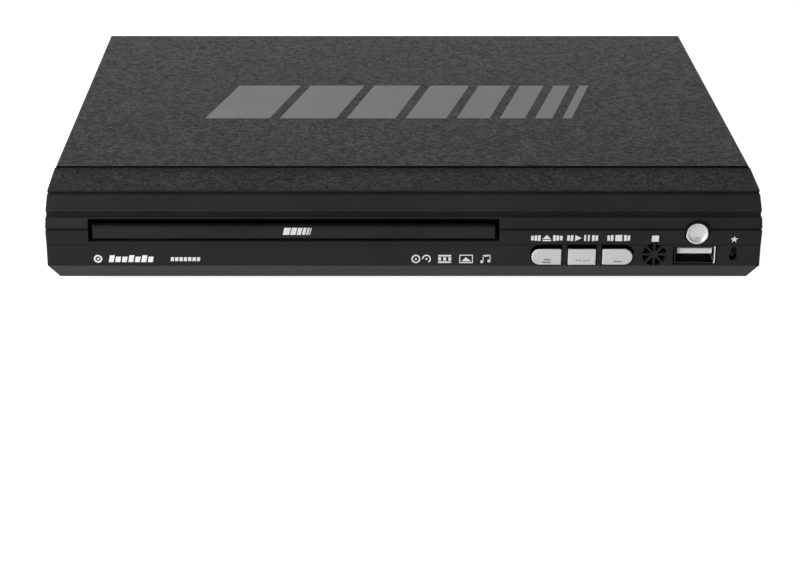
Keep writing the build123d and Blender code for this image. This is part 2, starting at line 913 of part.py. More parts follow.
def heat_sink():
    x0 = power_board_x0 + sink_inset
    x1 = power_board_x1 - sink_inset
    top = board_top + sink_height
    shape = block(x0, x1, sink_y, sink_y + sink_base, board_top, top)
    for i in range(sink_fins):
        x = x0 + i * (x1 - x0 - sink_fin) / (sink_fins - 1)
        shape += block(x, x + sink_fin, sink_y + sink_base, sink_y + sink_depth, board_top, top)
    return shape


def fuse():
    z = board_top + fuse_radius + 1
    glass = along_x(fuse_radius, fuse_y, z, power_mid_x - fuse_length / 2, power_mid_x + fuse_length / 2)
    for side in (-1, 1):
        x = power_mid_x + side * (fuse_length / 2 - 2)
        half = fuse_radius + fuse_clip
        glass += block(x - 2, x + 2, fuse_y - half, fuse_y + half, board_top, z)
    return glass


save("main_board", board(main_board_x0, main_board_x1, main_board_y, main_holes))
save("main_chips", main_chips())
save("power_board", board(power_board_x0, power_board_x1, power_board_y, power_holes))
save("transformer", transformer())
save("capacitors", solids_of(*[capacitor(power_mid_x + x, power_board_y + y, radius, height)
                              for x, y, radius, height in capacitor_places]))
save("heat_sink", heat_sink())
save("fuse", fuse())


# Rear sockets
def phono_socket(x):
    body_half = phono_spacing / 2 - slide_gap / 2
    y1 = rear_panel_y - phono_body_gap
    y0 = y1 - phono_body_depth - phono_body_gap
    body = block(x - body_half, x + body_half, y0, y1, board_top, phono_z + body_half)
    barrel = along_y(phono_radius, x, phono_z, rear_panel_y - 0.5, rear_y + jack_reach)
    socket = body + barrel
    return socket - along_y(phono_liner_radius + shaft_gap, x, phono_z, rear_panel_y,
                            rear_y + jack_reach + 1)


def phono_liner(x):
    liner = along_y(phono_liner_radius, x, phono_z, rear_panel_y, rear_y + jack_reach - 0.5)
    return liner - along_y(phono_bore, x, phono_z, rear_panel_y + 1, rear_y + jack_reach + 1)


def digital_socket():
    y0 = base_rear_y - digital_depth
    half_w = digital_width / 2
    half_h = digital_height / 2
    shell = block(digital_x - half_w, digital_x + half_w, y0, rear_y, digital_z - half_h,
                  digital_z + half_h)
    inner_w = half_w - digital_wall
    shell -= block(digital_x - inner_w, digital_x + inner_w, y0 + digital_back, rear_y + 1,
                   digital_z - half_h + digital_wall, digital_z + half_h - digital_wall)
    tongue = block(digital_x - half_w + 2, digital_x + half_w - 2, y0 + 1, rear_y - 1,
                   digital_z - tongue_below, digital_z + tongue_above)
    return shell + tongue


def mains_inlet():
    half = inlet_width / 2
    y0 = rear_y - inlet_depth
    shape = block(inlet_x - half, inlet_x + half, y0, rear_y, board_top, board_top + inlet_height)
    mouth = Pos(inlet_x, inlet_z) * Rectangle(inlet_pin_spread, 2 * inlet_mouth_radius)
    for side in (-1, 1):
        mouth += Pos(inlet_x + side * inlet_pin_spread / 2, inlet_z) * Circle(inlet_mouth_radius)
    shape -= front_shape(mouth, y0 + inlet_floor, rear_y + 1)
    for side in (-1, 1):
        x = inlet_x + side * inlet_pin_spread / 2
        shape -= along_y(inlet_pin_radius, x, inlet_z, y0 + 1, y0 + inlet_floor + 1)
    return shape


def inlet_pin(x):
    tip = rear_y - inlet_depth + inlet_floor + inlet_pin_length
    pin = along_y(inlet_pin_radius, x, inlet_z, rear_y - inlet_depth + 1, tip)
    end = pin.edges().filter_by(GeomType.CIRCLE).sort_by(Axis.Y)[-1]
    return fillet(end, inlet_pin_radius / 2)


phono_places = [phono_first_x + i * phono_spacing for i in range(phono_count)]
inlet_pin_x = [inlet_x + side * inlet_pin_spread / 2 for side in (-1, 1)]
save("phono_sockets", solids_of(*[phono_socket(x) for x in phono_places]))
save("phono_liners", solids_of(*[phono_liner(x) for x in phono_places]))
save("digital_socket", digital_socket())
save("mains_inlet", mains_inlet())
save("inlet_pins", solids_of(*[inlet_pin(x) for x in inlet_pin_x]))


# Front board with the USB socket, the remote-control receiver and the lamp
front_board_x0 = key_row_x - key_row_width / 2 - board_before_keys
front_board_x1 = half_width - panel_wall - board_side_room
front_board_z0 = bottom_z + panel_wall + board_floor_room
front_board_z1 = board_boss_z + board_boss_radius + board_above_boss
usb_half = usb_width / 2
usb_y = front_y + usb_setback


def front_board():
    shape = block(front_board_x0, front_board_x1, board_y, board_y + board_thickness,
                  front_board_z0, front_board_z1)
    cut_end = board_y + board_thickness + through
    shape -= block(usb_x - usb_half - screw_gap, usb_x + usb_half + screw_gap, board_y - 1, cut_end,
                   usb_centre_z - usb_height / 2 - screw_gap, usb_centre_z + usb_height / 2 + screw_gap)
    shape -= block(front_board_x1 - corner_cut, front_board_x1 + 1, board_y - 1, cut_end,
                   front_board_z0 - 1, front_board_z0 + skirt_fall)
    for x in board_boss_x:
        shape -= along_y(screw_radius + screw_gap, x, board_boss_z, board_y - 1, cut_end)
    return shape


def usb_shell():
    z0 = usb_centre_z - usb_height / 2
    z1 = usb_centre_z + usb_height / 2
    shell = block(usb_x - usb_half, usb_x + usb_half, usb_y, usb_y + usb_depth, z0, z1)
    inner = usb_half - usb_wall
    shell -= block(usb_x - inner, usb_x + inner, usb_y - 1, usb_y + usb_depth - 1, z0 + usb_wall,
                   z1 - usb_wall)
    return shell


def usb_tongue():
    z1 = usb_centre_z + usb_height / 2 - usb_wall - tongue_room
    half = tongue_width / 2
    tongue = block(usb_x - half, usb_x + half, usb_y + 1, usb_y + usb_depth - 1, z1 - tongue_thickness, z1)
    root = block(usb_x - half, usb_x + half, usb_y + usb_depth - tongue_root, usb_y + usb_depth - 1,
                 usb_centre_z - usb_height / 2 + usb_wall, z1 + tongue_room)
    return tongue + root


def ir_receiver():
    half = receiver_width / 2
    body = block(grille_x - half, grille_x + half, board_y - receiver_depth, board_y,
                 receiver_z - receiver_height / 2, receiver_z + receiver_height / 2)
    face = board_y - receiver_depth
    dome = Pos(grille_x, face, receiver_z) * Sphere(receiver_dome_radius)
    front_half = block(grille_x - half, grille_x + half, face - half, face, receiver_z - half,
                       receiver_z + half)
    return body + (dome & front_half)


def status_lamp():
    tip = front_y + lamp_setback
    lamp = along_y(lamp_radius, lamp_x, lamp_centre_z, tip + lamp_radius, board_y)
    lamp += Pos(lamp_x, tip + lamp_radius, lamp_centre_z) * Sphere(lamp_radius)
    return lamp + along_y(lamp_radius + lamp_collar, lamp_x, lamp_centre_z, board_y - lamp_collar_height,
                          board_y)


save("front_board", front_board())
save("usb_socket", usb_shell())
save("usb_tongue", usb_tongue())
save("ir_receiver", ir_receiver())
save("status_lamp", status_lamp())


# Flat cables, each folded along a path of straight runs
def flat_strip(points):
    """Both sides of a thin strip of ribbon_thickness along a path of flat points."""
    left = []
    right = []
    for i, (u, v) in enumerate(points):
        u0, v0 = points[max(i - 1, 0)]
        u1, v1 = points[min(i + 1, len(points) - 1)]
        length = math.hypot(u1 - u0, v1 - v0)
        across_u = -(v1 - v0) / length * ribbon_thickness / 2
        across_v = (u1 - u0) / length * ribbon_thickness / 2
        left.append((u + across_u, v + across_v))
        right.append((u - across_u, v - across_v))
    return left + right[::-1]


front_plug_y = board_y + board_thickness
front_plug_z = front_board_z1 - front_plug_drop
main_plug_y = main_board_y + main_plug_back
front_ribbon_x = (main_board_x0 + main_board_x1) / 2 - front_ribbon_offset
ribbon_half = front_ribbon_width / 2
plug_half = ribbon_half + plug_margin
loader_plug_x = frame_right + frame_wall
loader_plug_z = shelf_z + loader_plug_rise
side_plug_x = main_board_x0 + side_plug_inset


def board_connectors():
    x0 = front_ribbon_x - plug_half
    x1 = front_ribbon_x + plug_half
    connector_top = board_top + connector_height
    front = block(x0, x1, front_plug_y, front_plug_y + plug_depth,
                  front_plug_z - plug_half_height, front_plug_z + plug_half_height)
    main = block(x0, x1, main_plug_y, main_plug_y + plug_depth, board_top, connector_top)
    half = loader_ribbon_width / 2 + plug_margin
    y0 = loader_ribbon_y - half
    y1 = loader_ribbon_y + half
    side = block(side_plug_x, side_plug_x + plug_depth, y0, y1, board_top, connector_top)
    loader = block(loader_plug_x, loader_plug_x + plug_depth, y0, y1,
                   loader_plug_z - plug_half_height, loader_plug_z + plug_half_height)
    return solids_of(front, main, side, loader)


def front_ribbon():
    path = [(front_plug_y + plug_depth, front_plug_z)]
    path += [(front_plug_y + reach, front_plug_z - drop) for reach, drop in ribbon_bends_front]
    path += [(main_plug_y - reach, board_top + height) for reach, height in ribbon_bends_rear]
    path.append((main_plug_y, path[-1][1]))
    return side_profile(flat_strip(path), front_ribbon_x - ribbon_half, front_ribbon_x + ribbon_half)


def loader_ribbon():
    rise = board_top + connector_height + loader_ribbon_arch
    path = [(loader_plug_x + plug_depth, loader_plug_z)]
    path += [(loader_plug_x + reach, loader_plug_z + height) for reach, height in loader_ribbon_start]
    path += [
        (path[-1][0], rise - loader_ribbon_turn),
        (path[-1][0] + loader_ribbon_turn, rise),
        (side_plug_x, rise),
        (side_plug_x + loader_ribbon_end, rise - loader_ribbon_turn),
        (side_plug_x + loader_ribbon_end, board_top + connector_height),
    ]
    strip = make_face(Polyline(*flat_strip(path), close=True))
    half = loader_ribbon_width / 2
    return front_shape(strip, loader_ribbon_y - half, loader_ribbon_y + half)


save("board_connectors", board_connectors())
save("front_ribbon", front_ribbon())
save("loader_ribbon", loader_ribbon())


# Gears of the loader: involute teeth cut by formula
def involute(angle):
    return math.tan(angle) - angle


def gear_outline(teeth, first_tooth):
    """Points of a spur gear with one tooth centred at first_tooth degrees."""
    pitch = gear_module * teeth / 2
    base = pitch * math.cos(math.radians(pressure_angle))
    tip = pitch + gear_addendum
    root = pitch - gear_dedendum
    half_pitch = math.pi / (2 * teeth) - backlash / (4 * pitch)
    start = max(base, root)
    steps = 4
    flank = []
    for i in range(steps + 1):
        r = start + (tip - start) * i / steps
        spread = half_pitch + involute(math.radians(pressure_angle)) - involute(math.acos(base / r))
        flank.append((r, spread))
    points = []
    for tooth in range(teeth):
        middle = math.radians(first_tooth) + 2 * math.pi * tooth / teeth
        points.append((root, middle - flank[0][1]))
        points.extend((r, middle - spread) for r, spread in flank[1 if root == start else 0:])
        points.extend((r, middle + spread) for r, spread in reversed(flank))
        if root != start:
            points.append((root, middle + flank[0][1]))
    return [(r * math.cos(a), r * math.sin(a)) for r, a in points]


def gear(teeth, first_tooth, x, y, z0, z1):
    face = make_face(Polyline(*gear_outline(teeth, first_tooth), close=True))
    return extrude(Pos(x, y, z0) * face, z1 - z0)


rack_line_x = tray_left + rail_width + rack_web
tray_gear_x = rack_line_x + gear_module * rack_gear_teeth / 2
tray_gear_y = front_y + gear_setback
mesh_distance = gear_module * (tray_gear_teeth + belt_gear_teeth) / 2
belt_gear_x = tray_gear_x + mesh_distance
belt_gear_y = tray_gear_y
motor_x = belt_gear_x + belt_reach
motor_y = tray_gear_y + motor_setback
rack_gear_top = rail_z + rack_gear_width
shelf_top = shelf_z + shelf_thickness


def gear_bore(x, y):
    return upright(gear_pin_radius + shaft_gap, x, y, shelf_z, rack_gear_top + 1)


def tray_gear():
    shape = gear(tray_gear_teeth, 0, tray_gear_x, tray_gear_y, gear_z, gear_z + gear_width)
    shape += upright(gear_hub_radius, tray_gear_x, tray_gear_y, shelf_top, rail_z)
    shape += gear(rack_gear_teeth, 180, tray_gear_x, tray_gear_y, rail_z - gear_overlap, rack_gear_top)
    return shape - gear_bore(tray_gear_x, tray_gear_y)


def grooved_pulley(radius, x, y):
    """A pulley whose groove holds the square belt."""
    z0 = pulley_z
    z1 = pulley_z + pulley_width
    flange = (pulley_width - belt_section) / 2 - shaft_gap
    shape = upright(radius, x, y, z0, z1)
    shape += upright(radius + pulley_flange, x, y, z0, z0 + flange)
    return shape + upright(radius + pulley_flange, x, y, z1 - flange, z1)


def belt_gear():
    shape = gear(belt_gear_teeth, 180 + 180.0 / belt_gear_teeth, belt_gear_x, belt_gear_y, gear_z, pulley_z)
    shape += upright(gear_module * belt_gear_teeth / 2 - gear_dedendum, belt_gear_x, belt_gear_y,
                     shelf_top, gear_z)
    shape += grooved_pulley(pulley_radius, belt_gear_x, belt_gear_y)
    return shape - gear_bore(belt_gear_x, belt_gear_y)


def gear_pin(x, y, top):
    return upright(gear_pin_radius, x, y, shelf_z, top)


def loading_motor():
    top = pulley_z - motor_room
    can = upright(loading_motor_radius, motor_x, motor_y, top - loading_motor_height, top)
    rim = can.edges().filter_by(GeomType.CIRCLE).group_by(Axis.Z)
    can = fillet(rim[0] + rim[-1], edge_round)
    return can - upright(motor_shaft_radius + shaft_gap, motor_x, motor_y,
                         top - loading_motor_height + 1, top + 1)


def motor_pulley():
    shaft = upright(motor_shaft_radius, motor_x, motor_y, pulley_z - motor_room - loading_motor_height + 2,
                    pulley_z + pulley_width)
    return grooved_pulley(motor_pulley_radius, motor_x, motor_y) + shaft


def belt_loop(gap):
    """The flat outline round both pulleys, gap outside their grooves."""
    large = pulley_radius + gap
    small = motor_pulley_radius + gap
    reach = math.hypot(motor_x - belt_gear_x, motor_y - belt_gear_y)
    heading = math.atan2(motor_y - belt_gear_y, motor_x - belt_gear_x)
    tilt = math.acos((large - small) / reach)
    def on_circle(x, y, radius, angle):
        return (x + radius * math.cos(angle), y + radius * math.sin(angle))
    a = on_circle(belt_gear_x, belt_gear_y, large, heading + tilt)
    b = on_circle(belt_gear_x, belt_gear_y, large, heading + math.pi)
    c = on_circle(belt_gear_x, belt_gear_y, large, heading - tilt)
    d = on_circle(motor_x, motor_y, small, heading - tilt)
    e = on_circle(motor_x, motor_y, small, heading)
    f = on_circle(motor_x, motor_y, small, heading + tilt)
    return make_face(Wire([ThreePointArc(a, b, c), Line(c, d), ThreePointArc(d, e, f), Line(f, a)]))


def drive_belt():
    ring = belt_loop(shaft_gap + belt_section) - belt_loop(shaft_gap)
    z0 = pulley_z + (pulley_width - belt_section) / 2
    return extrude(Pos(0, 0, z0) * ring, belt_section)


save("tray_gear", tray_gear())
save("belt_gear", belt_gear())
save("gear_pins", solids_of(gear_pin(tray_gear_x, tray_gear_y, rack_gear_top),
                            gear_pin(belt_gear_x, belt_gear_y, pulley_z + pulley_width)))
save("loading_motor", loading_motor())
save("motor_pulley", motor_pulley())
save("drive_belt", drive_belt())


# The drawer: a tray with its rails and rack, and the door on its front
rack_tooth = math.pi * gear_module
rack_y0 = tray_y + rack_from_door
rack_teeth = int((tray_end_y - rack_y0 - rack_end_room) / rack_tooth)


def rack():
    """Straight teeth facing +X, with a gap opposite the tray gear's first tooth."""
    slope = math.tan(math.radians(pressure_angle))
    half = rack_tooth / 4 - backlash / 4
    first = math.ceil((rack_y0 - tray_gear_y) / rack_tooth) + 0.5
    tip_x = rack_line_x + gear_addendum
    root_x = rack_line_x - gear_dedendum
    points = [(tray_left + rail_width / 2, tray_gear_y + (first - 0.5) * rack_tooth)]
    for i in range(rack_teeth):
        middle = tray_gear_y + (first + i) * rack_tooth
        points.append((root_x, middle - half - gear_dedendum * slope))
        points.append((tip_x, middle - half + gear_addendum * slope))
        points.append((tip_x, middle + half - gear_addendum * slope))
        points.append((root_x, middle + half + gear_dedendum * slope))
    points.append((tray_left + rail_width / 2, tray_gear_y + (first + rack_teeth - 0.5) * rack_tooth))
    teeth = Pos(0, 0, rail_z) * make_face(Polyline(*points, close=True))
    return extrude(teeth, rail_height + tray_floor / 2)


tray_hole_radius = turntable_radius + tray_hole_room
lens_slot_width = lens_block_width + 2 * lens_slot_side
lens_slot_reach = sled_start + sled_travel + lens_block_length / 2 + lens_slot_end


def disc_tray():
    shape = block(tray_left, tray_right, tray_y, tray_end_y, tray_under_z, rim_z)
    large = disc_radius + disc_room
    shape -= upright(large, tray_centre_x, disc_y, seat_z, rim_z + 1)
    shape -= upright(small_disc_radius + disc_room, tray_centre_x, disc_y, small_seat_z, rim_z)
    shape -= upright(tray_hole_radius, tray_centre_x, disc_y, tray_under_z - 1, rim_z)
    shape -= block(tray_centre_x - lens_slot_width / 2, tray_centre_x + lens_slot_width / 2,
                   disc_y, disc_y + lens_slot_reach, tray_under_z - 1, rim_z)
    for x0 in (tray_left, tray_right - rail_width):
        shape += block(x0, x0 + rail_width, tray_y, tray_end_y, rail_z, tray_under_z)
    notch_radius = disc_radius * notch_share
    for x in (tray_left, tray_right):
        inside = tray_centre_x + (x - tray_centre_x) * (1 - 2 * rail_width / tray_width)
        finger = upright(notch_radius, inside, disc_y - disc_radius * notch_place, seat_z, rim_z + 1)
        keep = block(tray_left + rail_width, tray_right - rail_width, front_y, rear_y, seat_z, rim_z + 1)
        shape -= finger & keep
    return shape + rack()


def tray_door():
    x0 = tray_centre_x - door_width / 2
    x1 = tray_centre_x + door_width / 2
    door = block(x0, x1, door_y, tray_y, rim_z - door_height, rim_z)
    front_edges = door.edges().filter_by(Axis.X).group_by(Axis.Y)[0]
    door = fillet(front_edges.sort_by(Axis.Z)[-1], door_round)
    lower = door.edges().filter_by(Axis.X).group_by(Axis.Z)[0].sort_by(Axis.Y)[0]
    return fillet(lower, door_round / 3)


save("disc_tray", disc_tray())
save("tray_door", tray_door())


# Levels of the traverse in its raised, playing position
turntable_top = disc_z - pad_thickness
turntable_under = turntable_top - turntable_thickness
rotor_top = turntable_under - rotor_room
rotor_z = rotor_top - rotor_height
plate_top = rotor_z - stator_room - stator_height
plate_z = plate_top - traverse_thickness
pivot_y = disc_y + spindle_to_pivot
pivot_z = plate_z + traverse_thickness / 2
traverse_front_y = disc_y - spindle_to_front
traverse_half = traverse_width / 2
tilt = math.degrees(math.asin(spindle_lift / spindle_to_pivot))
slider_y1 = traverse_front_y - slider_room
slider_y0 = slider_y1 - slider_thickness
slider_mid_y = (slider_y0 + slider_y1) / 2
pin_arm = pivot_y - slider_mid_y
pin_high_z = pivot_z + cam_pin_rise
pin_low_z = pivot_z - pin_arm * math.sin(math.radians(tilt)) + cam_pin_rise * math.cos(math.radians(tilt))
slider_z0 = pin_low_z - cam_pin_radius - cam_pin_gap - slider_wall
slider_z1 = pin_high_z + cam_pin_radius + cam_pin_gap + slider_wall
wall_y1 = slider_y0 - seat_gap
wall_y0 = wall_y1 - frame_wall
beam_y = pivot_y + traverse_tail + beam_room
cam_pins_x = [tray_centre_x + side * cam_pin_spread / 2 for side in (-1, 1)]
hooks_x = [tray_centre_x + side * hook_spread / 2 for side in (-1, 1)]
bridge_ear_x = (frame_left - frame_wall - bridge_ear / 2, frame_right + frame_wall + bridge_ear / 2)


def frame_hook(x):
    """A bracket that wraps the cam slider from below and hooks over its top edge."""
    x0 = x - hook_length / 2
    x1 = x + hook_length / 2
    lower = slider_z0 - screw_gap
    upper = slider_z1 + screw_gap
    back = slider_y1 + seat_gap
    shape = block(x0, x1, wall_y0, back + hook_thickness, lower - hook_thickness, lower)
    shape += block(x0, x1, back, back + hook_thickness, lower - hook_thickness, lower + 2 * hook_thickness)
    shape += block(x0, x1, wall_y0, wall_y1, lower - hook_thickness, upper + hook_thickness)
    return shape + block(x0, x1, wall_y0, slider_y0 + hook_thickness, upper, upper + hook_thickness)


def grommet_x(side):
    """The x range of a grommet just outside the traverse's side."""
    near = tray_centre_x + side * (traverse_half + grommet_gap)
    far = near + side * grommet_width
    return (min(near, far), max(near, far))


def loader_frame():
    left = frame_left - frame_wall
    right = frame_right + frame_wall
    end = frame_end_y + frame_wall
    shape = block(left, right, frame_y, wall_y1, shelf_z, shelf_top)
    shape += block(left, right, wall_y0, wall_y1, slider_z0 - screw_gap - hook_thickness,
                   rail_z - slide_gap)
    shape += block(left, right, beam_y, end, shelf_z, shelf_top + 2)
    shape += block(left, right, frame_end_y, end, shelf_z, rim_z)
    for x0 in (left, frame_right):
        shape += block(x0, x0 + frame_wall, frame_y, end, shelf_z, bridge_z)
    ledge_reach = tray_side_gap + rail_width - slide_gap
    guide_step = (frame_end_y - frame_y - guide_length - 2 * guide_end_room) / (guide_count - 1)
    for x0, side in ((frame_left - 1, 1), (frame_right + 1, -1)):
        ledge = sorted((x0, x0 + side * (ledge_reach + 1)))
        shape += block(ledge[0], ledge[1], frame_y, frame_end_y, rail_z - screw_gap - ledge_thickness,
                       rail_z - screw_gap)
        for i in range(guide_count):
            y = frame_y + guide_end_room + i * guide_step
            guide = sorted((x0, x0 + side * (guide_reach + 1)))
            shape += block(guide[0], guide[1], y, y + guide_length, rim_z + slide_gap,
                           rim_z + slide_gap + guide_thickness)
    for x in hooks_x:
        shape += frame_hook(x)
    for x, y in ears:
        inward = 1 if x < tray_centre_x else -1
        x0, x1 = sorted((x - inward * ear_size / 2, x + inward * (ear_size / 2 + 1)))
        shape += block(x0, x1, y - ear_size / 2, y + ear_size / 2, shelf_z, shelf_z + ear_thickness)
        shape -= upright(screw_radius + screw_gap, x, y, shelf_z - 1, shelf_z + ear_thickness + 1)
    for x in bridge_ear_x:
        inward = 1 if x < tray_centre_x else -1
        x0, x1 = sorted((x - inward * bridge_ear / 2, x + inward * (bridge_ear / 2 + 1)))
        shape += block(x0, x1, disc_y - bridge_ear / 2, disc_y + bridge_ear / 2,
                       bridge_z - bridge_post_height, bridge_z)
        shape -= upright(pilot_radius, x, disc_y, bridge_z - bridge_pilot_depth, bridge_z + 1)
    for side in (-1, 1):
        x0, x1 = grommet_x(side)
        shape += block(x0, x1, pivot_y - bracket_reach, beam_y + 1, shelf_z,
                       pivot_z + grommet_radius + grommet_cover)
        shape -= along_x(grommet_radius + shaft_gap, pivot_y, pivot_z, x0 - 1, x1 + 1)
    shape -= upright(loading_motor_radius + screw_gap, motor_x, motor_y, shelf_z - 1, shelf_top + 1)
    for x, y in ((tray_gear_x, tray_gear_y), (belt_gear_x, belt_gear_y)):
        shape -= upright(gear_pin_radius + shaft_gap, x, y, shelf_z - 1, shelf_top + 1)
    return shape


def cam_slider():
    margin = 4.0
    x0 = cam_pins_x[0] - cam_travel - margin
    x1 = cam_pins_x[1] + margin
    shape = block(x0, x1, slider_y0, slider_y1, slider_z0, slider_z1)
    rise = pin_high_z - pin_low_z
    slope = math.degrees(math.atan2(rise, -cam_travel))
    slot = SlotCenterToCenter(math.hypot(rise, cam_travel), 2 * (cam_pin_radius + cam_pin_gap))
    for x in cam_pins_x:
        place = Pos(x - cam_travel / 2, (pin_high_z + pin_low_z) / 2) * Rot(0, 0, slope)
        shape -= front_shape(place * slot, slider_y0 - 1, slider_y1 + 1)
    return shape


def clamp_bridge():
    half = bridge_width / 2
    x0 = bridge_ear_x[0] - bridge_ear / 2
    x1 = bridge_ear_x[1] + bridge_ear / 2
    strip = block(frame_left - frame_wall, frame_right + frame_wall, disc_y - half, disc_y + half,
                  bridge_z, bridge_z + sheet)
    strip += block(x0, x1, disc_y - bridge_ear / 2, disc_y + bridge_ear / 2, bridge_z, bridge_z + sheet)
    strip -= upright(clamper_hole, tray_centre_x, disc_y, bridge_z - 1, bridge_z + 2)
    for x in bridge_ear_x:
        strip -= upright(screw_radius + screw_gap, x, disc_y, bridge_z - 1, bridge_z + 2)
    return strip


clamper_z = rim_z + clamper_gap
clamper_flange_z = bridge_z + sheet + seat_gap
magnet_z = disc_z + cone_height + magnet_gap


def clamper():
    shape = upright(clamper_radius, tray_centre_x, disc_y, clamper_z, clamper_z + clamper_thickness)
    shape += upright(clamper_neck, tray_centre_x, disc_y, clamper_z, clamper_flange_z + sheet)
    shape += upright(clamper_flange, tray_centre_x, disc_y, clamper_flange_z, clamper_flange_z + sheet)
    shape -= upright(cone_radius + slide_gap, tray_centre_x, disc_y, clamper_z - 1, magnet_z)
    return shape - upright(magnet_radius, tray_centre_x, disc_y, magnet_z - 1, magnet_z + magnet_height)


save("loader_frame", loader_frame())
save("cam_slider", cam_slider())
save("clamp_bridge", clamp_bridge())
save("clamper", clamper())
save("clamper_magnet", upright(magnet_radius, tray_centre_x, disc_y, magnet_z, magnet_z + magnet_height))
bridge_screws = [screw_down(x, disc_y, bridge_z + sheet, sheet + bridge_screw_grip) for x in bridge_ear_x]
save("screws", solids_of(*cover_screws, *rear_screws, *tab_screws, *loader_screws, *bridge_screws,
                         *board_screws, *front_screws))


# The traverse is drawn level, as when it plays, and is then turned down to its resting position
def lowered(shape):
    """Turn a piece of the traverse about the rear pivot."""
    return Pos(0, pivot_y, pivot_z) * Rot(tilt, 0, 0) * Pos(0, -pivot_y, -pivot_z) * shape


def at_disc(x, y):
    """A point given from the middle of the disc."""
    return (tray_centre_x + x, disc_y + y)


sled_room_y0 = sled_start - sled_length / 2 - sled_room / 2
sled_room_y1 = sled_start + sled_travel + sled_length / 2 + sled_room
rod_z = pivot_z + rod_rise
rod_holders_y = (sled_room_y0 - rod_holder, sled_room_y1)
sled_room_x = rod_spread / 2 + rod_side_room
screw_room_x = sled_screw_x + screw_side_room


def traverse_chassis():
    x0, y0 = at_disc(-traverse_half, -spindle_to_front)
    x1, y1 = at_disc(traverse_half, spindle_to_pivot + traverse_tail)
    shape = block(x0, x1, y0, y1, plate_z, plate_top)
    hole_x0, hole_y0 = at_disc(-sled_room_x, sled_room_y0)
    hole_x1, hole_y1 = at_disc(screw_room_x, sled_room_y1)
    shape -= block(hole_x0, hole_x1, hole_y0, hole_y1, plate_z - 1, plate_top + 1)
    for x in (-rod_spread / 2, rod_spread / 2):
        for y in rod_holders_y:
            px, py = at_disc(x, y)
            shape += block(px - rod_holder_width / 2, px + rod_holder_width / 2, py, py + rod_holder,
                           plate_z, rod_z + rod_radius + rod_holder_cover)
            shape -= along_y(rod_radius + shaft_gap, px, rod_z, py - 1, py + rod_holder + 1)
    px, py = at_disc(sled_screw_x, rod_holders_y[0])
    shape += block(px - rod_holder_width / 2, px + rod_holder_width / 2, py, py + rod_holder,
                   plate_z - screw_holder_drop, pivot_z + screw_holder_rise)
    shape -= along_y(sled_screw_radius + shaft_gap, px, pivot_z, py, py + rod_holder + 1)
    motor_room_y = disc_y + sled_room_y1
    motor_half = sled_motor_radius + sled_motor_room
    shape -= block(px - motor_half, px + motor_half, motor_room_y + sled_motor_plate, y1 + 1,
                   plate_z - 1, plate_top + 1)
    shape += block(px - sled_motor_radius, px + sled_motor_radius, motor_room_y,
                   motor_room_y + sled_motor_plate, pivot_z - sled_motor_radius, pivot_z + sled_motor_radius)
    shape -= along_y(sled_screw_radius + screw_passage_gap, px, pivot_z, motor_room_y - 1,
                     motor_room_y + sled_motor_plate + through)
    for x in cam_pins_x:
        shape += block(x - pin_post / 2, x + pin_post / 2, y0, y0 + pin_post_depth,
                       plate_z, pin_high_z + cam_pin_radius)
        shape += along_y(cam_pin_radius, x, pin_high_z, slider_y0, y0 + 1)
    for side in (-1, 1):
        ends = sorted((tray_centre_x + side * (traverse_half - 1),
                       tray_centre_x + side * (traverse_half + trunnion_length)))
        shape += along_x(trunnion_radius, pivot_y, pivot_z, *ends)
        post = sorted((tray_centre_x + side * (traverse_half - trunnion_post / 2),
                       tray_centre_x + side * traverse_half))
        shape += block(post[0], post[1], pivot_y - trunnion_post / 2, pivot_y + trunnion_post / 2,
                       pivot_z - trunnion_post_height / 2, pivot_z + trunnion_post_height / 2)
    return shape


def grommet(side):
    x0, x1 = grommet_x(side)
    ring = along_x(grommet_radius, pivot_y, pivot_z, x0, x1)
    return ring - along_x(trunnion_radius + shaft_gap, pivot_y, pivot_z, x0 - 1, x1 + 1)


can_wall = 0.6
core_gap = 0.6
centre = (tray_centre_x, disc_y)


def spindle_motor():
    stator = block(centre[0] - rotor_radius, centre[0] + rotor_radius, disc_y - rotor_radius - 2,
                   disc_y + rotor_radius - 0.5, plate_top, plate_top + stator_height)
    stator += upright(rotor_radius - can_wall - core_gap, *centre, plate_top, rotor_top - can_wall - 0.4)
    return stator - upright(spindle_radius + shaft_gap, *centre, plate_top + 0.3, rotor_top)


def rotor():
    can = upright(rotor_radius, *centre, rotor_z, rotor_top)
    can -= upright(rotor_radius - can_wall, *centre, rotor_z - 1, rotor_top - can_wall)
    return can + upright(spindle_radius, *centre, plate_top + 0.5, turntable_under + 0.5)


def turntable():
    plate = upright(turntable_radius, *centre, turntable_under, turntable_top)
    cone_base = disc_z
    rise = cone_height
    plate += upright(cone_radius, *centre, turntable_top - 0.2, cone_base)
    plate += Pos(*centre, cone_base + rise / 2) * Cone(cone_radius, cone_radius - cone_taper, rise)
    plate += upright(cone_radius / 2, *centre, rotor_top, turntable_under)
    return plate - upright(spindle_radius, *centre, rotor_top - 1, turntable_under + 0.5)


def turntable_pad():
    ring = upright(turntable_radius - 0.3, *centre, turntable_top, disc_z)
    return ring - upright(cone_radius + 1.6, *centre, turntable_top - 1, disc_z + 1)


def guide_rod(x):
    px, y0 = at_disc(x, rod_holders_y[0])
    return along_y(rod_radius, px, rod_z, y0, disc_y + rod_holders_y[1] + rod_holder)


sled_top = tray_under_z - 0.6
lens_top = disc_z - lens_setback


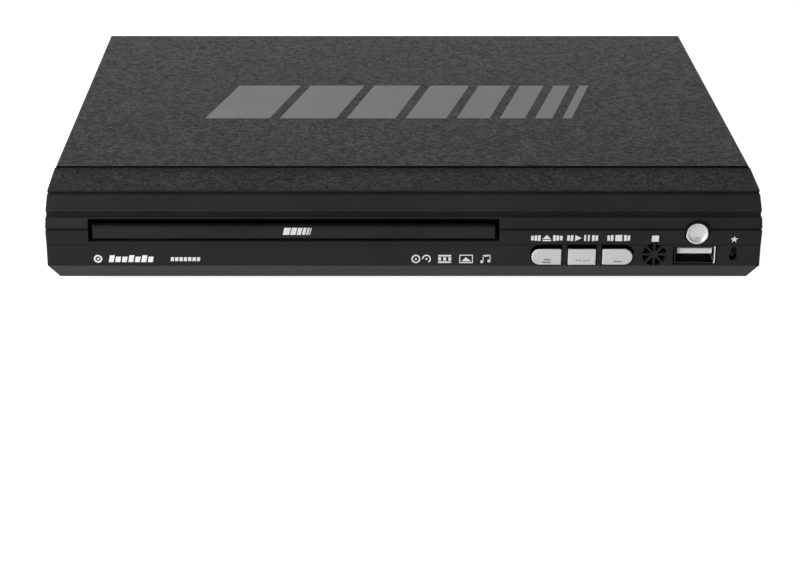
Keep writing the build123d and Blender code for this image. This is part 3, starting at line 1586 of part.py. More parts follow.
def pickup_body():
    x, y = at_disc(0, sled_start)
    half = sled_length / 2
    shape = block(x - sled_width / 2, x + sled_width / 2, y - half, y + half,
                  sled_top - sled_height, sled_top)
    shape += block(x - lens_block_width / 2, x + lens_block_width / 2, y - lens_block_length / 2,
                   y + lens_block_length / 2, sled_top, lens_top - lens_proud)
    shape -= upright(lens_radius, x, y, lens_top - 2 * lens_proud, lens_top + 1)
    rod_x = rod_spread / 2
    for ear_y0 in (y - half, y + half - sled_ear):
        shape += block(x - rod_x - 3, x - sled_width / 2, ear_y0, ear_y0 + sled_ear, sled_top - sled_height,
                       rod_z + rod_radius + 0.7)
    arm_z0 = pivot_z - sled_screw_radius - 1.2
    shape += block(x + sled_width / 2, x + sled_screw_x + 2.6, y - sled_ear / 2, y + sled_ear / 2,
                   arm_z0, rod_z + rod_radius + 0.7)
    for side in (-1, 1):
        shape -= along_y(rod_radius + shaft_gap, x + side * rod_x, rod_z, y - half - 1, y + half + 1)
    return shape - along_y(sled_screw_radius + shaft_gap, x + sled_screw_x, pivot_z, y - half, y + half)


def objective_lens():
    x, y = at_disc(0, sled_start)
    lens = upright(lens_radius - shaft_gap, x, y, lens_top - 2 * lens_proud, lens_top)
    rim = lens.edges().filter_by(GeomType.CIRCLE).sort_by(Axis.Z)[-1]
    return fillet(rim, lens_proud * 0.8)


def sled_motor():
    x, y = at_disc(sled_screw_x, sled_room_y1 + sled_motor_plate)
    can = along_y(sled_motor_radius, x, pivot_z, y, y + sled_motor_length)
    return can - along_y(spindle_radius + shaft_gap, x, pivot_z, y - 1, y + 6)


def sled_screw():
    x, y = at_disc(sled_screw_x, rod_holders_y[0] + 0.6)
    end = disc_y + sled_room_y1 + 0.8
    return along_y(sled_screw_radius, x, pivot_z, y, end) + along_y(spindle_radius, x, pivot_z, end, end + 5)


save("traverse_chassis", lowered(traverse_chassis()))
save("damper_grommets", solids_of(grommet(-1), grommet(1)))
save("spindle_motor", lowered(spindle_motor()))
save("spindle_rotor", lowered(rotor()))
save("turntable", lowered(turntable()))
save("turntable_pad", lowered(turntable_pad()))
save("guide_rods", solids_of(lowered(guide_rod(-rod_spread / 2)), lowered(guide_rod(rod_spread / 2))))
save("pickup_body", lowered(pickup_body()))
save("objective_lens", lowered(objective_lens()))
save("sled_motor", lowered(sled_motor()))
save("sled_screw", lowered(sled_screw()))
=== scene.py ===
# %% [markdown]
# # A disc player, dressed for its picture
# The solids of the player come ready made and stay where they are, as the frame that every new
# piece is set against. This lesson gives them rounded edges and real finishes, adds the small
# things that a moulder or a printer adds, and lights the whole like a product picture. The size of
# the bare frame is kept.

import math

import bpy
import numpy as np
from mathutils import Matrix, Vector


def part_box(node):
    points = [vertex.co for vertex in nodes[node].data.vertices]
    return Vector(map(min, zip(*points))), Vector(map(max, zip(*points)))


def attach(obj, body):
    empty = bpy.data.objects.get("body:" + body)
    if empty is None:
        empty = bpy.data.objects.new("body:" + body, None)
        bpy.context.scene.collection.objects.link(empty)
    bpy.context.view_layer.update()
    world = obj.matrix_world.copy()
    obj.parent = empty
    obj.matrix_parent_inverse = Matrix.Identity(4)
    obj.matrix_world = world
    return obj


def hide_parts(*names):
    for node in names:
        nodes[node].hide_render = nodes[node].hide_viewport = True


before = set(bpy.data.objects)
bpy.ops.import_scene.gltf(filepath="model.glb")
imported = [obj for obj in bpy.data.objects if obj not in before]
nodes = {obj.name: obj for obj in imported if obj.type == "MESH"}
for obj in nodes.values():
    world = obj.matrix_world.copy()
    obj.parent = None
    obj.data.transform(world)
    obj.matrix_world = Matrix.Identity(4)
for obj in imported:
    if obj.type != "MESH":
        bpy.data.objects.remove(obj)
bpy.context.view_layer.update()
MM = 0.001
print("pieces in the frame:", len(nodes))

# %% [markdown]
# The places of the new pieces are read from the boxes of the solids that carry them, so that
# nothing floats or sinks. A box is a lowest and a highest corner in metres. The few sizes that a
# box can't give, such as the slope of the facet under the drawer's line, are the moulding's own.

# %% Places on the player
def box_mm(node):
    """The lowest and the highest corner of a solid in millimetres."""
    return [np.array(corner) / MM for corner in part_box(node)]


panel_low = box_mm("front_panel")[0]
cover_low, cover_high = box_mm("top_cover")
door_low, door_high = box_mm("tray_door")
front_y = panel_low[1]
top_z = cover_high[2]
joint_gap = 0.8
deck_run = 18.2
deck_fall = 2.2
facet_top_fall = 12.4
facet_bottom_fall = 17.5
facet_lean = 0.7
bevel_height = 4.6
joint_y = cover_low[1] - joint_gap
deck_front_y = joint_y - deck_run
deck_floor_z = top_z - deck_fall
facet_top = np.array([front_y, top_z - facet_top_fall])
facet_bottom = np.array([front_y + facet_lean, top_z - facet_bottom_fall])
face_y = facet_bottom[0]
bevel_top_z = panel_low[2] + bevel_height
print("front", front_y, "top", top_z, "deck ends", deck_front_y)

# %% [markdown]
# Most pieces are made the same way: arrays of points and faces are worked out with numpy, in
# millimetres, and handed to Blender in one go, which keeps each shape a formula. Every piece gets
# its finish and the body that it moves with at once, so none is forgotten.

# %% Turn arrays into a piece
def new_piece(name, points, faces, finish, body="case", smooth=True):
    """Make an object from points (n, 3) in millimetres and faces given as rows of point numbers."""
    mesh = bpy.data.meshes.new(name)
    mesh.from_pydata((np.asarray(points, dtype=float) * MM).tolist(), [], faces)
    mesh.validate()
    mesh.update()
    piece = bpy.data.objects.new(name, mesh)
    bpy.context.scene.collection.objects.link(piece)
    mesh.materials.append(finish)
    mesh.polygons.foreach_set("use_smooth", np.full(len(mesh.polygons), smooth))
    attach(piece, body)
    return piece


def grid_faces(rows, columns, wrap=False):
    """Four-sided faces of a grid of points, row by row; wrap joins the last column to the first."""
    across = columns if wrap else columns - 1
    i, j = np.meshgrid(np.arange(rows - 1), np.arange(across), indexing="ij")
    k = (j + 1) % columns
    quads = np.stack([i * columns + j, i * columns + k, (i + 1) * columns + k, (i + 1) * columns + j], -1)
    return quads.reshape(-1, 4)


# %% [markdown]
# A camera far enough back to flatten the player a little, as in the picture, looks down on it
# from a good twenty degrees. The lens is long, and a small sideways shift keeps the camera square
# to the front while the player sits where it does in the frame.

# %% Camera
camera_data = bpy.data.cameras.new("product_camera")
camera = bpy.data.objects.new("product_camera", camera_data)
bpy.context.scene.collection.objects.link(camera)
camera_data.lens = 91.49
camera_data.shift_x = 0.0493
camera_data.clip_start = 0.01
camera.location = (-0.01386, -0.70819, 0.25259)
camera.rotation_euler = (math.radians(67.628), 0.0, 0.0)
bpy.context.scene.camera = camera
print("camera at", tuple(round(v, 4) for v in camera.location))

# %% [markdown]
# Finishes are trees of nodes, which need many small steps of the same kind: place a node, set a
# few of its sockets, link the rest. The functions here take those steps, and a value may be a
# number, a colour or the socket of another node.

# %% Place and fill nodes
def give(socket, value):
    """Link a socket to another, or set it to a number, a vector or a colour of three numbers."""
    if isinstance(value, bpy.types.NodeSocket):
        socket.id_data.links.new(value, socket)
    elif value is not None:
        socket.default_value = (*value, 1.0) if socket.type == "RGBA" else value


def fill(node, **values):
    """Give values to the sockets of a node by name, with an underscore for each space."""
    for label, value in values.items():
        give(node.inputs[label.replace("_", " ")], value)
    return node


def math_node(tree, operation, a, b=None):
    """A Math node on one or two values."""
    node = tree.nodes.new("ShaderNodeMath")
    node.operation = operation
    give(node.inputs[0], a)
    give(node.inputs[1], b)
    return node.outputs[0]


def noise_node(tree, vector, scale, detail=2.0, rough=0.5):
    """A Noise texture on a vector."""
    node = tree.nodes.new("ShaderNodeTexNoise")
    return fill(node, Vector=vector, Scale=scale, Detail=detail, Roughness=rough).outputs["Fac"]


def between(tree, factor, low, high, ends=(0.0, 1.0), curve="LINEAR"):
    """A value that goes from low to high as factor goes from one of the ends to the other."""
    node = tree.nodes.new("ShaderNodeMapRange")
    node.interpolation_type = curve
    for socket, value in zip(node.inputs, (factor, *ends, low, high)):
        give(socket, value)
    return node.outputs["Result"]


def mix_node(tree, factor, a, b, kind="RGBA"):
    """Mix two colours, or two numbers where kind is FLOAT: a where factor is 0, b where it is 1."""
    node = tree.nodes.new("ShaderNodeMix")
    node.data_type = kind
    first, result = {"RGBA": (6, 2), "FLOAT": (2, 0)}[kind]
    for index, value in ((0, factor), (first, a), (first + 1, b)):
        give(node.inputs[index], value)
    return node.outputs[result]


def parts_of(tree, vector):
    """The X, Y and Z of a vector, as sockets found by their names."""
    return fill(tree.nodes.new("ShaderNodeSeparateXYZ"), Vector=vector).outputs


print("node helpers ready")

# %% [markdown]
# Three effects come back in many finishes, so each is a node group with named sockets: a mottled
# grain for the textured coat, a fine grain for moulded and painted surfaces, and the long marks of
# rolled metal. They read Object coordinates, in metres, so a grain of one millimetre needs a scale
# of about a thousand.

# %% Shared surface effects
def group_with(name, extra, kind, results):
    """An empty node group with a Vector, one extra input, and results that are numbers."""
    group = bpy.data.node_groups.new(name, "ShaderNodeTree")
    sockets = [("Vector", "INPUT", "Vector"), (extra, "INPUT", kind)]
    for label, side, sort in sockets + [(label, "OUTPUT", "Float") for label in results]:
        group.interface.new_socket(name=label, in_out=side, socket_type="NodeSocket" + sort)
    given = group.nodes.new("NodeGroupInput").outputs
    return group, given["Vector"], given[extra], group.nodes.new("NodeGroupOutput")


def make_mottled_grain():
    """Grain of a textured coat: crumbs one over Scale wide, clumps of them, and slow patches."""
    group, vector, scale, sink = group_with("mottled_grain", "Scale", "Float",
                                            ("Crumbs", "Patches", "Height"))
    clump_scale, patch_scale, fine_scale = (math_node(group, "MULTIPLY", scale, share)
                                            for share in (0.36, 0.07, 2.1))
    specks = between(group, noise_node(group, vector, scale, 3.0, 0.6), 0, 1, (0.42, 0.6))
    clumps = between(group, noise_node(group, vector, clump_scale), 0, 1, (0.38, 0.62))
    patches = between(group, noise_node(group, vector, patch_scale, 3.0), 0, 1, (0.35, 0.65))
    crumbs = math_node(group, "ADD", math_node(group, "MULTIPLY", specks, 0.74),
                       math_node(group, "MULTIPLY", clumps, 0.26))
    fine = math_node(group, "MULTIPLY", noise_node(group, vector, fine_scale), 0.4)
    fill(sink, Crumbs=crumbs, Patches=patches, Height=math_node(group, "ADD", crumbs, fine))
    return group


def make_fine_grain():
    """Even grain of moulded plastic or paint, with slow clouds for uneven handling."""
    group, vector, scale, sink = group_with("fine_grain", "Scale", "Float", ("Grain", "Clouds"))
    clouds = noise_node(group, vector, math_node(group, "MULTIPLY", scale, 0.02), 3.0)
    fill(sink, Grain=noise_node(group, vector, scale, 2.0, 0.55),
         Clouds=between(group, clouds, 0, 1, (0.3, 0.7)))
    return group


def make_drawn_marks():
    """Long fine marks of rolled metal: noise squeezed hard across one direction."""
    group, vector, stretch, sink = group_with("drawn_marks", "Stretch", "Vector", ("Marks", "Stains"))
    scaled = group.nodes.new("ShaderNodeVectorMath")
    scaled.operation = "MULTIPLY"
    give(scaled.inputs[0], vector)
    give(scaled.inputs[1], stretch)
    marks = noise_node(group, scaled.outputs[0], 1.0, 4.0, 0.6)
    stains = noise_node(group, vector, 60.0, 4.0)
    fill(sink, Marks=between(group, marks, 0, 1, (0.3, 0.7)),
         Stains=between(group, stains, 0, 1, (0.35, 0.65)))
    return group


mottled_grain = make_mottled_grain()
fine_grain = make_fine_grain()
drawn_marks = make_drawn_marks()
print("shared effects:", [group.name for group in (mottled_grain, fine_grain, drawn_marks)])

# %% [markdown]
# Every finish starts from the same bench: a Principled shader, Object coordinates and a place for
# a group. The values that are the same all over a surface are set on the shader itself, and only
# what changes over the surface is linked.

# %% Helpers for finishes
def start_finish(name, colour, rough, metallic=0.0, specular=0.5):
    """A material with its tree, its Principled shader and its Object coordinates."""
    material = bpy.data.materials.new(name)
    material.use_nodes = True
    tree = material.node_tree
    shader = fill(tree.nodes["Principled BSDF"], Base_Color=colour, Roughness=rough, Metallic=metallic,
                  Specular_IOR_Level=specular)
    return material, tree, shader, tree.nodes.new("ShaderNodeTexCoord").outputs["Object"]


def use_group(tree, group, place, **values):
    """Place a node group, give it its coordinates and values, and return its results."""
    node = tree.nodes.new("ShaderNodeGroup")
    node.node_tree = group
    return fill(node, Vector=place, **values).outputs


def feed(shader, colour, rough=None, dark=None):
    """Give the shader a colour, a roughness, and a mask of painted gap shade, sent to Metallic."""
    fill(shader, Base_Color=colour, Roughness=rough, Metallic=dark)


def add_bump(tree, shader, height, strength, distance):
    """Send a height through a Bump node to the shader's normal."""
    bump = fill(tree.nodes.new("ShaderNodeBump"), Height=height, Strength=strength, Distance=distance)
    fill(shader, Normal=bump.outputs["Normal"])


def plastic(name, colour, rough, spread=0.15, specular=0.5):
    """Moulded plastic: the colour drifts a little in clouds, and a fine grain breaks the gloss."""
    material, tree, shader, place = start_finish(name, colour, rough, specular=specular)
    group = use_group(tree, fine_grain, place, Scale=2500.0)
    darker = tuple(channel * (1 - spread) for channel in colour)
    lighter = tuple(min(1.0, channel * (1 + spread)) for channel in colour)
    feed(shader, mix_node(tree, group["Clouds"], darker, lighter),
         between(tree, group["Grain"], rough - 0.08, rough + 0.08))
    add_bump(tree, shader, group["Grain"], 0.35, 0.00002)
    return material


def metal(name, colour, rough, stretch=(60.0, 4000.0, 4000.0), spread=0.12):
    """Rolled or plated metal: long marks vary its roughness, and stains its colour."""
    material, tree, shader, place = start_finish(name, colour, rough, metallic=1.0)
    group = use_group(tree, drawn_marks, place, Stretch=stretch)
    darker = tuple(channel * (1 - spread) for channel in colour)
    feed(shader, mix_node(tree, group["Stains"], darker, colour),
         between(tree, group["Marks"], rough * 0.7, rough * 1.35))
    add_bump(tree, shader, group["Marks"], 0.2, 0.00001)
    return material


# %% [markdown]
# The cover and the strip in front of it share a textured black coat, whose crumbs are about a
# millimetre wide and show as lighter and darker specks. The cover's cut edge at the seam is painted
# almost black, as painted shade of the narrow gap: a metal with a nearly black colour gives back
# hardly any light, so a mask sent to both Metallic and Base Color makes a surface look like the
# bottom of a gap.

# %% The textured coat
coat_scale = 950.0
cut_edge_shade_width = 0.3


def textured_look(tree, place, dark, light):
    """Colour, roughness and height of the textured coat."""
    group = use_group(tree, mottled_grain, place, Scale=coat_scale)
    speck = mix_node(tree, group["Crumbs"], dark, light)
    shade = tuple(channel * 0.6 for channel in dark)
    patchy = math_node(tree, "MULTIPLY", group["Patches"], 0.3)
    colour = mix_node(tree, patchy, speck, shade)
    rough = between(tree, group["Crumbs"], 0.62, 0.5)
    return colour, rough, group["Height"]


def textured_coat():
    """The cover's coat; the cut edge at the cover's front, read by Y, is painted almost black as the shade of
    the seam.
    """
    material, tree, shader, place = start_finish("textured_coat", (0.02, 0.02, 0.02), 0.55, specular=0.11)
    colour, rough, height = textured_look(tree, place, (0.0003, 0.0003, 0.0004), (0.032, 0.032, 0.0325))
    edge_y = (cover_low[1] + cut_edge_shade_width) * MM
    # Painted shade: the cut edge is made almost black, and metallic, as the shade in the seam's gap.
    shaded_cut_edge = math_node(tree, "LESS_THAN", parts_of(tree, place)["Y"], edge_y)
    feed(shader, mix_node(tree, shaded_cut_edge, colour, (0.014, 0.014, 0.014)), rough, shaded_cut_edge)
    add_bump(tree, shader, height, 0.5, 0.00010)
    return material


finish = {"textured_coat": textured_coat()}
print("coat ready, grain scale", coat_scale)

# %% [markdown]
# The strip before the cover belongs to the moulded front, so the front's material has two looks:
# grain where Y lies behind the strip's front edge, and smooth satin black before it. Object
# coordinates tell the two apart without cutting the mesh. Height picks out the rest: a darker line
# of painted shade where the facet meets the lower face, and the bevel at the foot, which is painted
# a little paler as a painted reflection of the pale floor. The lip under the cover's edge is painted
# almost black as the shade of the seam.

# %% The moulded front
satin_dark = (0.0185, 0.0185, 0.019)
satin_light = (0.0225, 0.0225, 0.023)
edge_margin = 0.05
lip_margin = 0.15
crease_shade_half = 0.4


def front_moulding():
    """Textured on the deck, satin black below it, and painted almost black as seam shade on the lip under the
    cover's edge.
    """
    material, tree, shader, place = start_finish("front_moulding", (0.02, 0.02, 0.02), 0.35, specular=0.09)
    where = parts_of(tree, place)
    behind = math_node(tree, "GREATER_THAN", where["Y"], (deck_front_y + edge_margin) * MM)
    above = math_node(tree, "GREATER_THAN", where["Z"], deck_floor_z * MM)
    deck = math_node(tree, "MULTIPLY", behind, above)
    # Painted shade: the lip under the cover's edge is made almost black as the shade of the seam.
    lip_shade = math_node(tree, "GREATER_THAN", where["Y"], (joint_y - lip_margin) * MM)
    colour, rough, height = textured_look(tree, place, (0.008, 0.008, 0.0082), (0.043, 0.043, 0.0435))
    smooth = use_group(tree, fine_grain, place, Scale=3000.0)
    satin = mix_node(tree, smooth["Clouds"], satin_dark, satin_light)
    # Painted shade: a darker line along the crease where the facet meets the lower face.
    over_crease = math_node(tree, "SUBTRACT", where["Z"], facet_bottom[1] * MM)
    crease_shade = math_node(tree, "LESS_THAN", math_node(tree, "ABSOLUTE", over_crease), crease_shade_half * MM)
    satin = mix_node(tree, crease_shade, satin, (0.0145, 0.0145, 0.015))
    # Painted reflection: the bevel at the foot is made paler, as the pale floor's light on it.
    floor_lit_bevel = math_node(tree, "LESS_THAN", where["Z"], (bevel_top_z - lip_margin) * MM)
    satin = mix_node(tree, floor_lit_bevel, satin, (0.069, 0.069, 0.07))
    coat = mix_node(tree, deck, satin, colour)
    coat = mix_node(tree, lip_shade, coat, (0.003, 0.003, 0.003))
    satin_rough = between(tree, smooth["Grain"], 0.36, 0.48)
    feed(shader, coat, mix_node(tree, deck, satin_rough, rough, "FLOAT"))
    grain = math_node(tree, "MULTIPLY", smooth["Grain"], 0.12)
    add_bump(tree, shader, mix_node(tree, deck, grain, height, "FLOAT"), 0.5, 0.00010)
    return material


finish["front_moulding"] = front_moulding()
print("finishes so far:", sorted(finish))

# %% [markdown]
# The other finishes are short to write, because each differs from its neighbours only in a few
# values. A plastic has its colour, its roughness, how far its colour drifts and its specular level,
# and a metal its colour, its roughness and how its marks are stretched.

# %% The plainer finishes
plastics = {
    "tray_black": ((0.012, 0.012, 0.0125), 0.34, 0.15, 0.3),
    "dark_moulding": ((0.05, 0.05, 0.052), 0.5),
    "acetal": ((0.74, 0.73, 0.69), 0.38, 0.05),
    "black_nylon": ((0.014, 0.014, 0.015), 0.42),
    "ivory_nylon": ((0.7, 0.66, 0.54), 0.45, 0.06),
    "chip_resin": ((0.018, 0.018, 0.019), 0.6),
    "foot_rubber": ((0.022, 0.022, 0.022), 0.85, 0.3, 0.3),
    "receiver_resin": ((0.012, 0.008, 0.01), 0.12),
    "print_white": ((0.92, 0.92, 0.92), 0.55, 0.04),
    "print_pale": ((0.8, 0.8, 0.8), 0.55, 0.04),
    "print_grey": ((0.18, 0.18, 0.18), 0.6, 0.06, 0.3),
    # The key marks' grey is painted shade of their pressed recesses.
    "key_recess_shade": ((0.22, 0.22, 0.22), 0.6, 0.1),
    # Near black for print, and for painted shade in gaps and recesses: lamp slot, screw crosses, power key's
    # crescent.
    "print_and_shade_black": ((0.004, 0.004, 0.004), 0.5, 0.1, 0.05),
    "white_nylon": ((0.8, 0.8, 0.79), 0.4, 0.05),
}
metals = {
    "zinc_plate": ((0.62, 0.63, 0.65), 0.34),
    "machine_steel": ((0.56, 0.56, 0.58), 0.28, (3000.0, 3000.0, 120.0)),
    "motor_can": ((0.6, 0.6, 0.61), 0.3, (900.0, 900.0, 60.0)),
    "nickel": ((0.72, 0.7, 0.66), 0.2),
    "tin_plate": ((0.75, 0.75, 0.76), 0.24),
    "brass": ((0.78, 0.58, 0.28), 0.26),
    "bare_aluminium": ((0.8, 0.8, 0.81), 0.3),
    "cast_zinc": ((0.46, 0.46, 0.48), 0.46, (800.0, 800.0, 800.0)),
}
finish.update({name: plastic(name, *look) for name, look in plastics.items()})
finish.update({name: metal(name, *look) for name, look in metals.items()})
print("finishes so far:", len(finish))

# %% [markdown]
# The drawer's door and the keys sit in mouths that are darker than any paint. The door fades into
# painted shade of its mouth, and the keys are painted dark behind their front, as shade of their
# mouths. Both use the same mask as the painted shade on the cut edge of the cover.

# %% The drawer's door and the keys
shade_start = 2.2
shade_end = 0.6
cap_front = 0.25


def drawer_finish():
    """Satin black whose top, read by Z, falls into the shade of the mouth above it."""
    material, tree, shader, place = start_finish("drawer_black", (0.02, 0.02, 0.0205), 0.4, specular=0.09)
    ends = [(door_high[2] + step) * MM for step in (-shade_start, shade_end)]
    shade = between(tree, parts_of(tree, place)["Z"], 0, 1, ends, "SMOOTHSTEP")
    group = use_group(tree, fine_grain, place, Scale=2800.0)
    satin = mix_node(tree, group["Clouds"], satin_dark, satin_light)
    feed(shader, mix_node(tree, shade, satin, (0.0008, 0.0008, 0.0008)),
         between(tree, group["Grain"], 0.36, 0.48), shade)
    add_bump(tree, shader, group["Grain"], 0.3, 0.00002)
    return material


def key_finish():
    """Pale silver on the cap's front, and painted dark behind it, as shade where the cap turns into its
    flange.
    """
    material, tree, shader, place = start_finish("key_silver", (0.7, 0.7, 0.7), 0.4, specular=0.4)
    # Painted shade: behind the cap's front the key is made nearly black as the shade of its mouth.
    behind = math_node(tree, "GREATER_THAN", parts_of(tree, place)["Y"], (face_y + cap_front) * MM)
    group = use_group(tree, fine_grain, place, Scale=3500.0)
    pale = mix_node(tree, group["Clouds"], (0.63, 0.63, 0.635), (0.7, 0.7, 0.705))
    feed(shader, mix_node(tree, behind, pale, (0.01, 0.01, 0.01)),
         between(tree, group["Grain"], 0.34, 0.5), behind)
    add_bump(tree, shader, group["Grain"], 0.3, 0.00002)
    return material


finish["drawer_black"] = drawer_finish()
finish["key_silver"] = key_finish()
print("finishes so far:", len(finish))

# %% [markdown]
# The shell of the USB socket is tin with painted shade inside and a painted highlight on one wall.
# The liners of the three round sockets are one piece in three colours. Both finishes read X, which
# says how far across the player a point lies.

# %% The sockets
highlight_wall_width = 0.5


def socket_shell():
    """Tin painted dark as shade inside, and painted bright only on the wall that turns to the light, read by
    X.
    """
    material, tree, shader, place = start_finish("socket_shell", (0.1, 0.1, 0.1), 0.3, metallic=1.0)
    wall_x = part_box("usb_socket")[1][0] - highlight_wall_width * MM
    lit = math_node(tree, "GREATER_THAN", parts_of(tree, place)["X"], wall_x)
    group = use_group(tree, drawn_marks, place, Stretch=(60.0, 4000.0, 4000.0))
    # Painted light and shade: dark inside, bright on the one wall.
    feed(shader, mix_node(tree, lit, (0.03, 0.03, 0.03), (0.75, 0.75, 0.76)),
         between(tree, group["Marks"], 0.22, 0.4))
    return material


def phono_colours():
    """Yellow, white and red: the colour changes at each third of the row along X."""
    material, tree, shader, place = start_finish("phono_colours", (0.7, 0.5, 0.1), 0.35)
    group = use_group(tree, fine_grain, place, Scale=2500.0)
    low, high = (corner[0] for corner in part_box("phono_liners"))
    across = parts_of(tree, place)["X"]
    past_one, past_two = (math_node(tree, "GREATER_THAN", across, low + (high - low) * share)
                          for share in (1 / 3, 2 / 3))
    colour = mix_node(tree, past_one, (0.72, 0.5, 0.04), (0.72, 0.72, 0.7))
    feed(shader, mix_node(tree, past_two, colour, (0.55, 0.03, 0.03)),
         between(tree, group["Grain"], 0.28, 0.4))
    return material


finish["socket_shell"] = socket_shell()
finish["phono_colours"] = phono_colours()
print("finishes so far:", len(finish))

# %% [markdown]
# A circuit board is green lacquer with copper under it, which a Brick texture suggests well enough
# from a hand's width away: the mortar stands for the paler tracks. Glass and the lamp's resin keep
# their plain transmission and get only a tint.

# %% Boards and clear pieces
def circuit_board():
    """Green lacquer in bricks, with paler and rougher tracks between them."""
    material, tree, shader, place = start_finish("circuit_board", (0.02, 0.13, 0.05), 0.4)
    bricks = fill(tree.nodes.new("ShaderNodeTexBrick"), Vector=place, Scale=260.0, Mortar_Size=0.06,
                  Color1=(0.016, 0.115, 0.042), Color2=(0.022, 0.15, 0.056), Mortar=(0.05, 0.26, 0.1))
    tracks = bricks.outputs["Fac"]
    feed(shader, bricks.outputs["Color"], between(tree, tracks, 0.36, 0.5))
    add_bump(tree, shader, tracks, 0.4, 0.00003)
    return material


def clear_material(name, colour, rough):
    """Glass or clear resin: full transmission, and a tint that drifts a little in clouds."""
    material, tree, shader, place = start_finish(name, colour, rough)
    fill(shader, Transmission_Weight=1.0, IOR=1.49)
    group = use_group(tree, fine_grain, place, Scale=1200.0)
    tint = tuple(channel * 0.9 for channel in colour)
    feed(shader, mix_node(tree, group["Clouds"], colour, tint))
    return material


finish["circuit_board"] = circuit_board()
finish["clear_glass"] = clear_material("clear_glass", (0.9, 0.94, 0.94), 0.04)
finish["lens_glass"] = clear_material("lens_glass", (0.6, 0.72, 0.95), 0.02)
finish["lamp_resin"] = clear_material("lamp_resin", (0.55, 0.05, 0.04), 0.25)
print("finishes so far:", len(finish))

# %% [markdown]
# Three pieces inside carry stripes. A flat cable shows its side-by-side wires, a transformer is
# yellow tape between two halves of dark ferrite, and a capacitor's sleeve has one pale stripe down
# its side. Waves draw the stripes, and the distance from the middle parts tape from ferrite.

# %% Cable, transformer and capacitors
ferrite_share = 0.33


def wave_node(tree, place, scale, direction):
    """Even bands across one direction."""
    node = fill(tree.nodes.new("ShaderNodeTexWave"), Vector=place, Scale=scale)
    node.bands_direction = direction
    return node.outputs["Fac"]


def flat_cable():
    """Pale bands side by side, raised a little, from a wave across the cable."""
    material, tree, shader, place = start_finish("flat_cable", (0.7, 0.7, 0.68), 0.5)
    wave = wave_node(tree, place, 300.0, "DIAGONAL")
    feed(shader, mix_node(tree, wave, (0.55, 0.55, 0.53), (0.78, 0.78, 0.76)))
    add_bump(tree, shader, wave, 0.4, 0.00008)
    return material


def wound_tape():
    """Yellow tape in the middle, and ferrite where a point lies far above or below it."""
    material, tree, shader, place = start_finish("wound_tape", (0.72, 0.52, 0.06), 0.42)
    group = use_group(tree, fine_grain, place, Scale=1500.0)
    low, high = (corner[2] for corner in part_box("transformer"))
    from_middle = math_node(tree, "SUBTRACT", parts_of(tree, place)["Z"], (low + high) / 2)
    away = math_node(tree, "ABSOLUTE", from_middle)
    ferrite = math_node(tree, "GREATER_THAN", away, (high - low) * ferrite_share)
    feed(shader, mix_node(tree, ferrite, (0.72, 0.52, 0.06), (0.05, 0.05, 0.055)),
         between(tree, group["Grain"], 0.36, 0.52))
    return material


def sleeved_can():
    """Dark blue sleeve with a pale stripe where a wave along X is near its crest."""
    material, tree, shader, place = start_finish("sleeved_can", (0.02, 0.03, 0.09), 0.3)
    stripe = math_node(tree, "GREATER_THAN", wave_node(tree, place, 24.0, "X"), 0.93)
    feed(shader, mix_node(tree, stripe, (0.02, 0.03, 0.09), (0.5, 0.52, 0.6)))
    return material


finish["flat_cable"] = flat_cable()
finish["wound_tape"] = wound_tape()
finish["sleeved_can"] = sleeved_can()
print("finishes:", len(finish))

# %% [markdown]
# Each solid of the frame now gets its finish by name. A solid left out would stay grey, so the
# lesson stops then.

# %% Give every solid its finish
worn_by = {
    "textured_coat": "top_cover",
    "front_moulding": "front_panel",
    "tray_black": "disc_tray",
    "drawer_black": "tray_door",
    "dark_moulding": "loader_frame traverse_chassis turntable",
    "acetal": "tray_gear belt_gear motor_pulley cam_slider clamper open_plunger play_plunger "
              "stop_plunger power_plunger",
    "key_silver": "open_button play_button stop_button power_button",
    "black_nylon": "mains_inlet tact_switches",
    "white_nylon": "usb_tongue",
    "socket_shell": "usb_socket",
    "ivory_nylon": "board_connectors",
    "chip_resin": "main_chips",
    "foot_rubber": "rubber_feet drive_belt damper_grommets turntable_pad",
    "receiver_resin": "ir_receiver",
    "zinc_plate": "chassis_base rear_panel clamp_bridge",
    "machine_steel": "screws gear_pins guide_rods sled_screw",
    "motor_can": "loading_motor spindle_motor spindle_rotor sled_motor",
    "nickel": "phono_sockets clamper_magnet",
    "tin_plate": "digital_socket",
    "brass": "inlet_pins",
    "bare_aluminium": "heat_sink",
    "cast_zinc": "pickup_body",
    "circuit_board": "main_board power_board front_board",
    "clear_glass": "fuse",
    "lens_glass": "objective_lens",
    "lamp_resin": "status_lamp",
    "phono_colours": "phono_liners",
    "flat_cable": "front_ribbon loader_ribbon",
    "wound_tape": "transformer",
    "sleeved_can": "capacitors",
}
dressed = set()
for name, wearers in worn_by.items():
    for node in wearers.split():
        slots = nodes[node].data.materials
        slots.clear()
        slots.append(finish[name])
        dressed.add(node)
missing = set(nodes) - dressed
assert not missing, missing
print("solids dressed:", len(dressed))

# %% [markdown]
# A solid comes with razor edges, and real mouldings and folded sheets have small rounds that
# catch a line of light. Modifiers make them without touching the mesh: Weld joins the loose
# triangles, Decimate in its planar mode merges flat faces, Bevel rounds what is sharper than
# thirty degrees, and Weighted Normal keeps the flats looking flat.

# %% Round the edges that show
def soften(node, width):
    """Round the sharp edges of a solid by a width in millimetres."""
    piece = nodes[node]
    weld = piece.modifiers.new("join_triangles", "WELD")
    weld.merge_threshold = 0.000002
    flat = piece.modifiers.new("merge_flats", "DECIMATE")
    flat.decimate_type = "DISSOLVE"
    flat.angle_limit = math.radians(0.6)
    round_edges = piece.modifiers.new("round_edges", "BEVEL")
    round_edges.width = width * MM
    round_edges.segments = 2
    round_edges.limit_method = "ANGLE"
    round_edges.angle_limit = math.radians(30)
    round_edges.use_clamp_overlap = True
    normals = piece.modifiers.new("flat_normals", "WEIGHTED_NORMAL")
    normals.keep_sharp = False


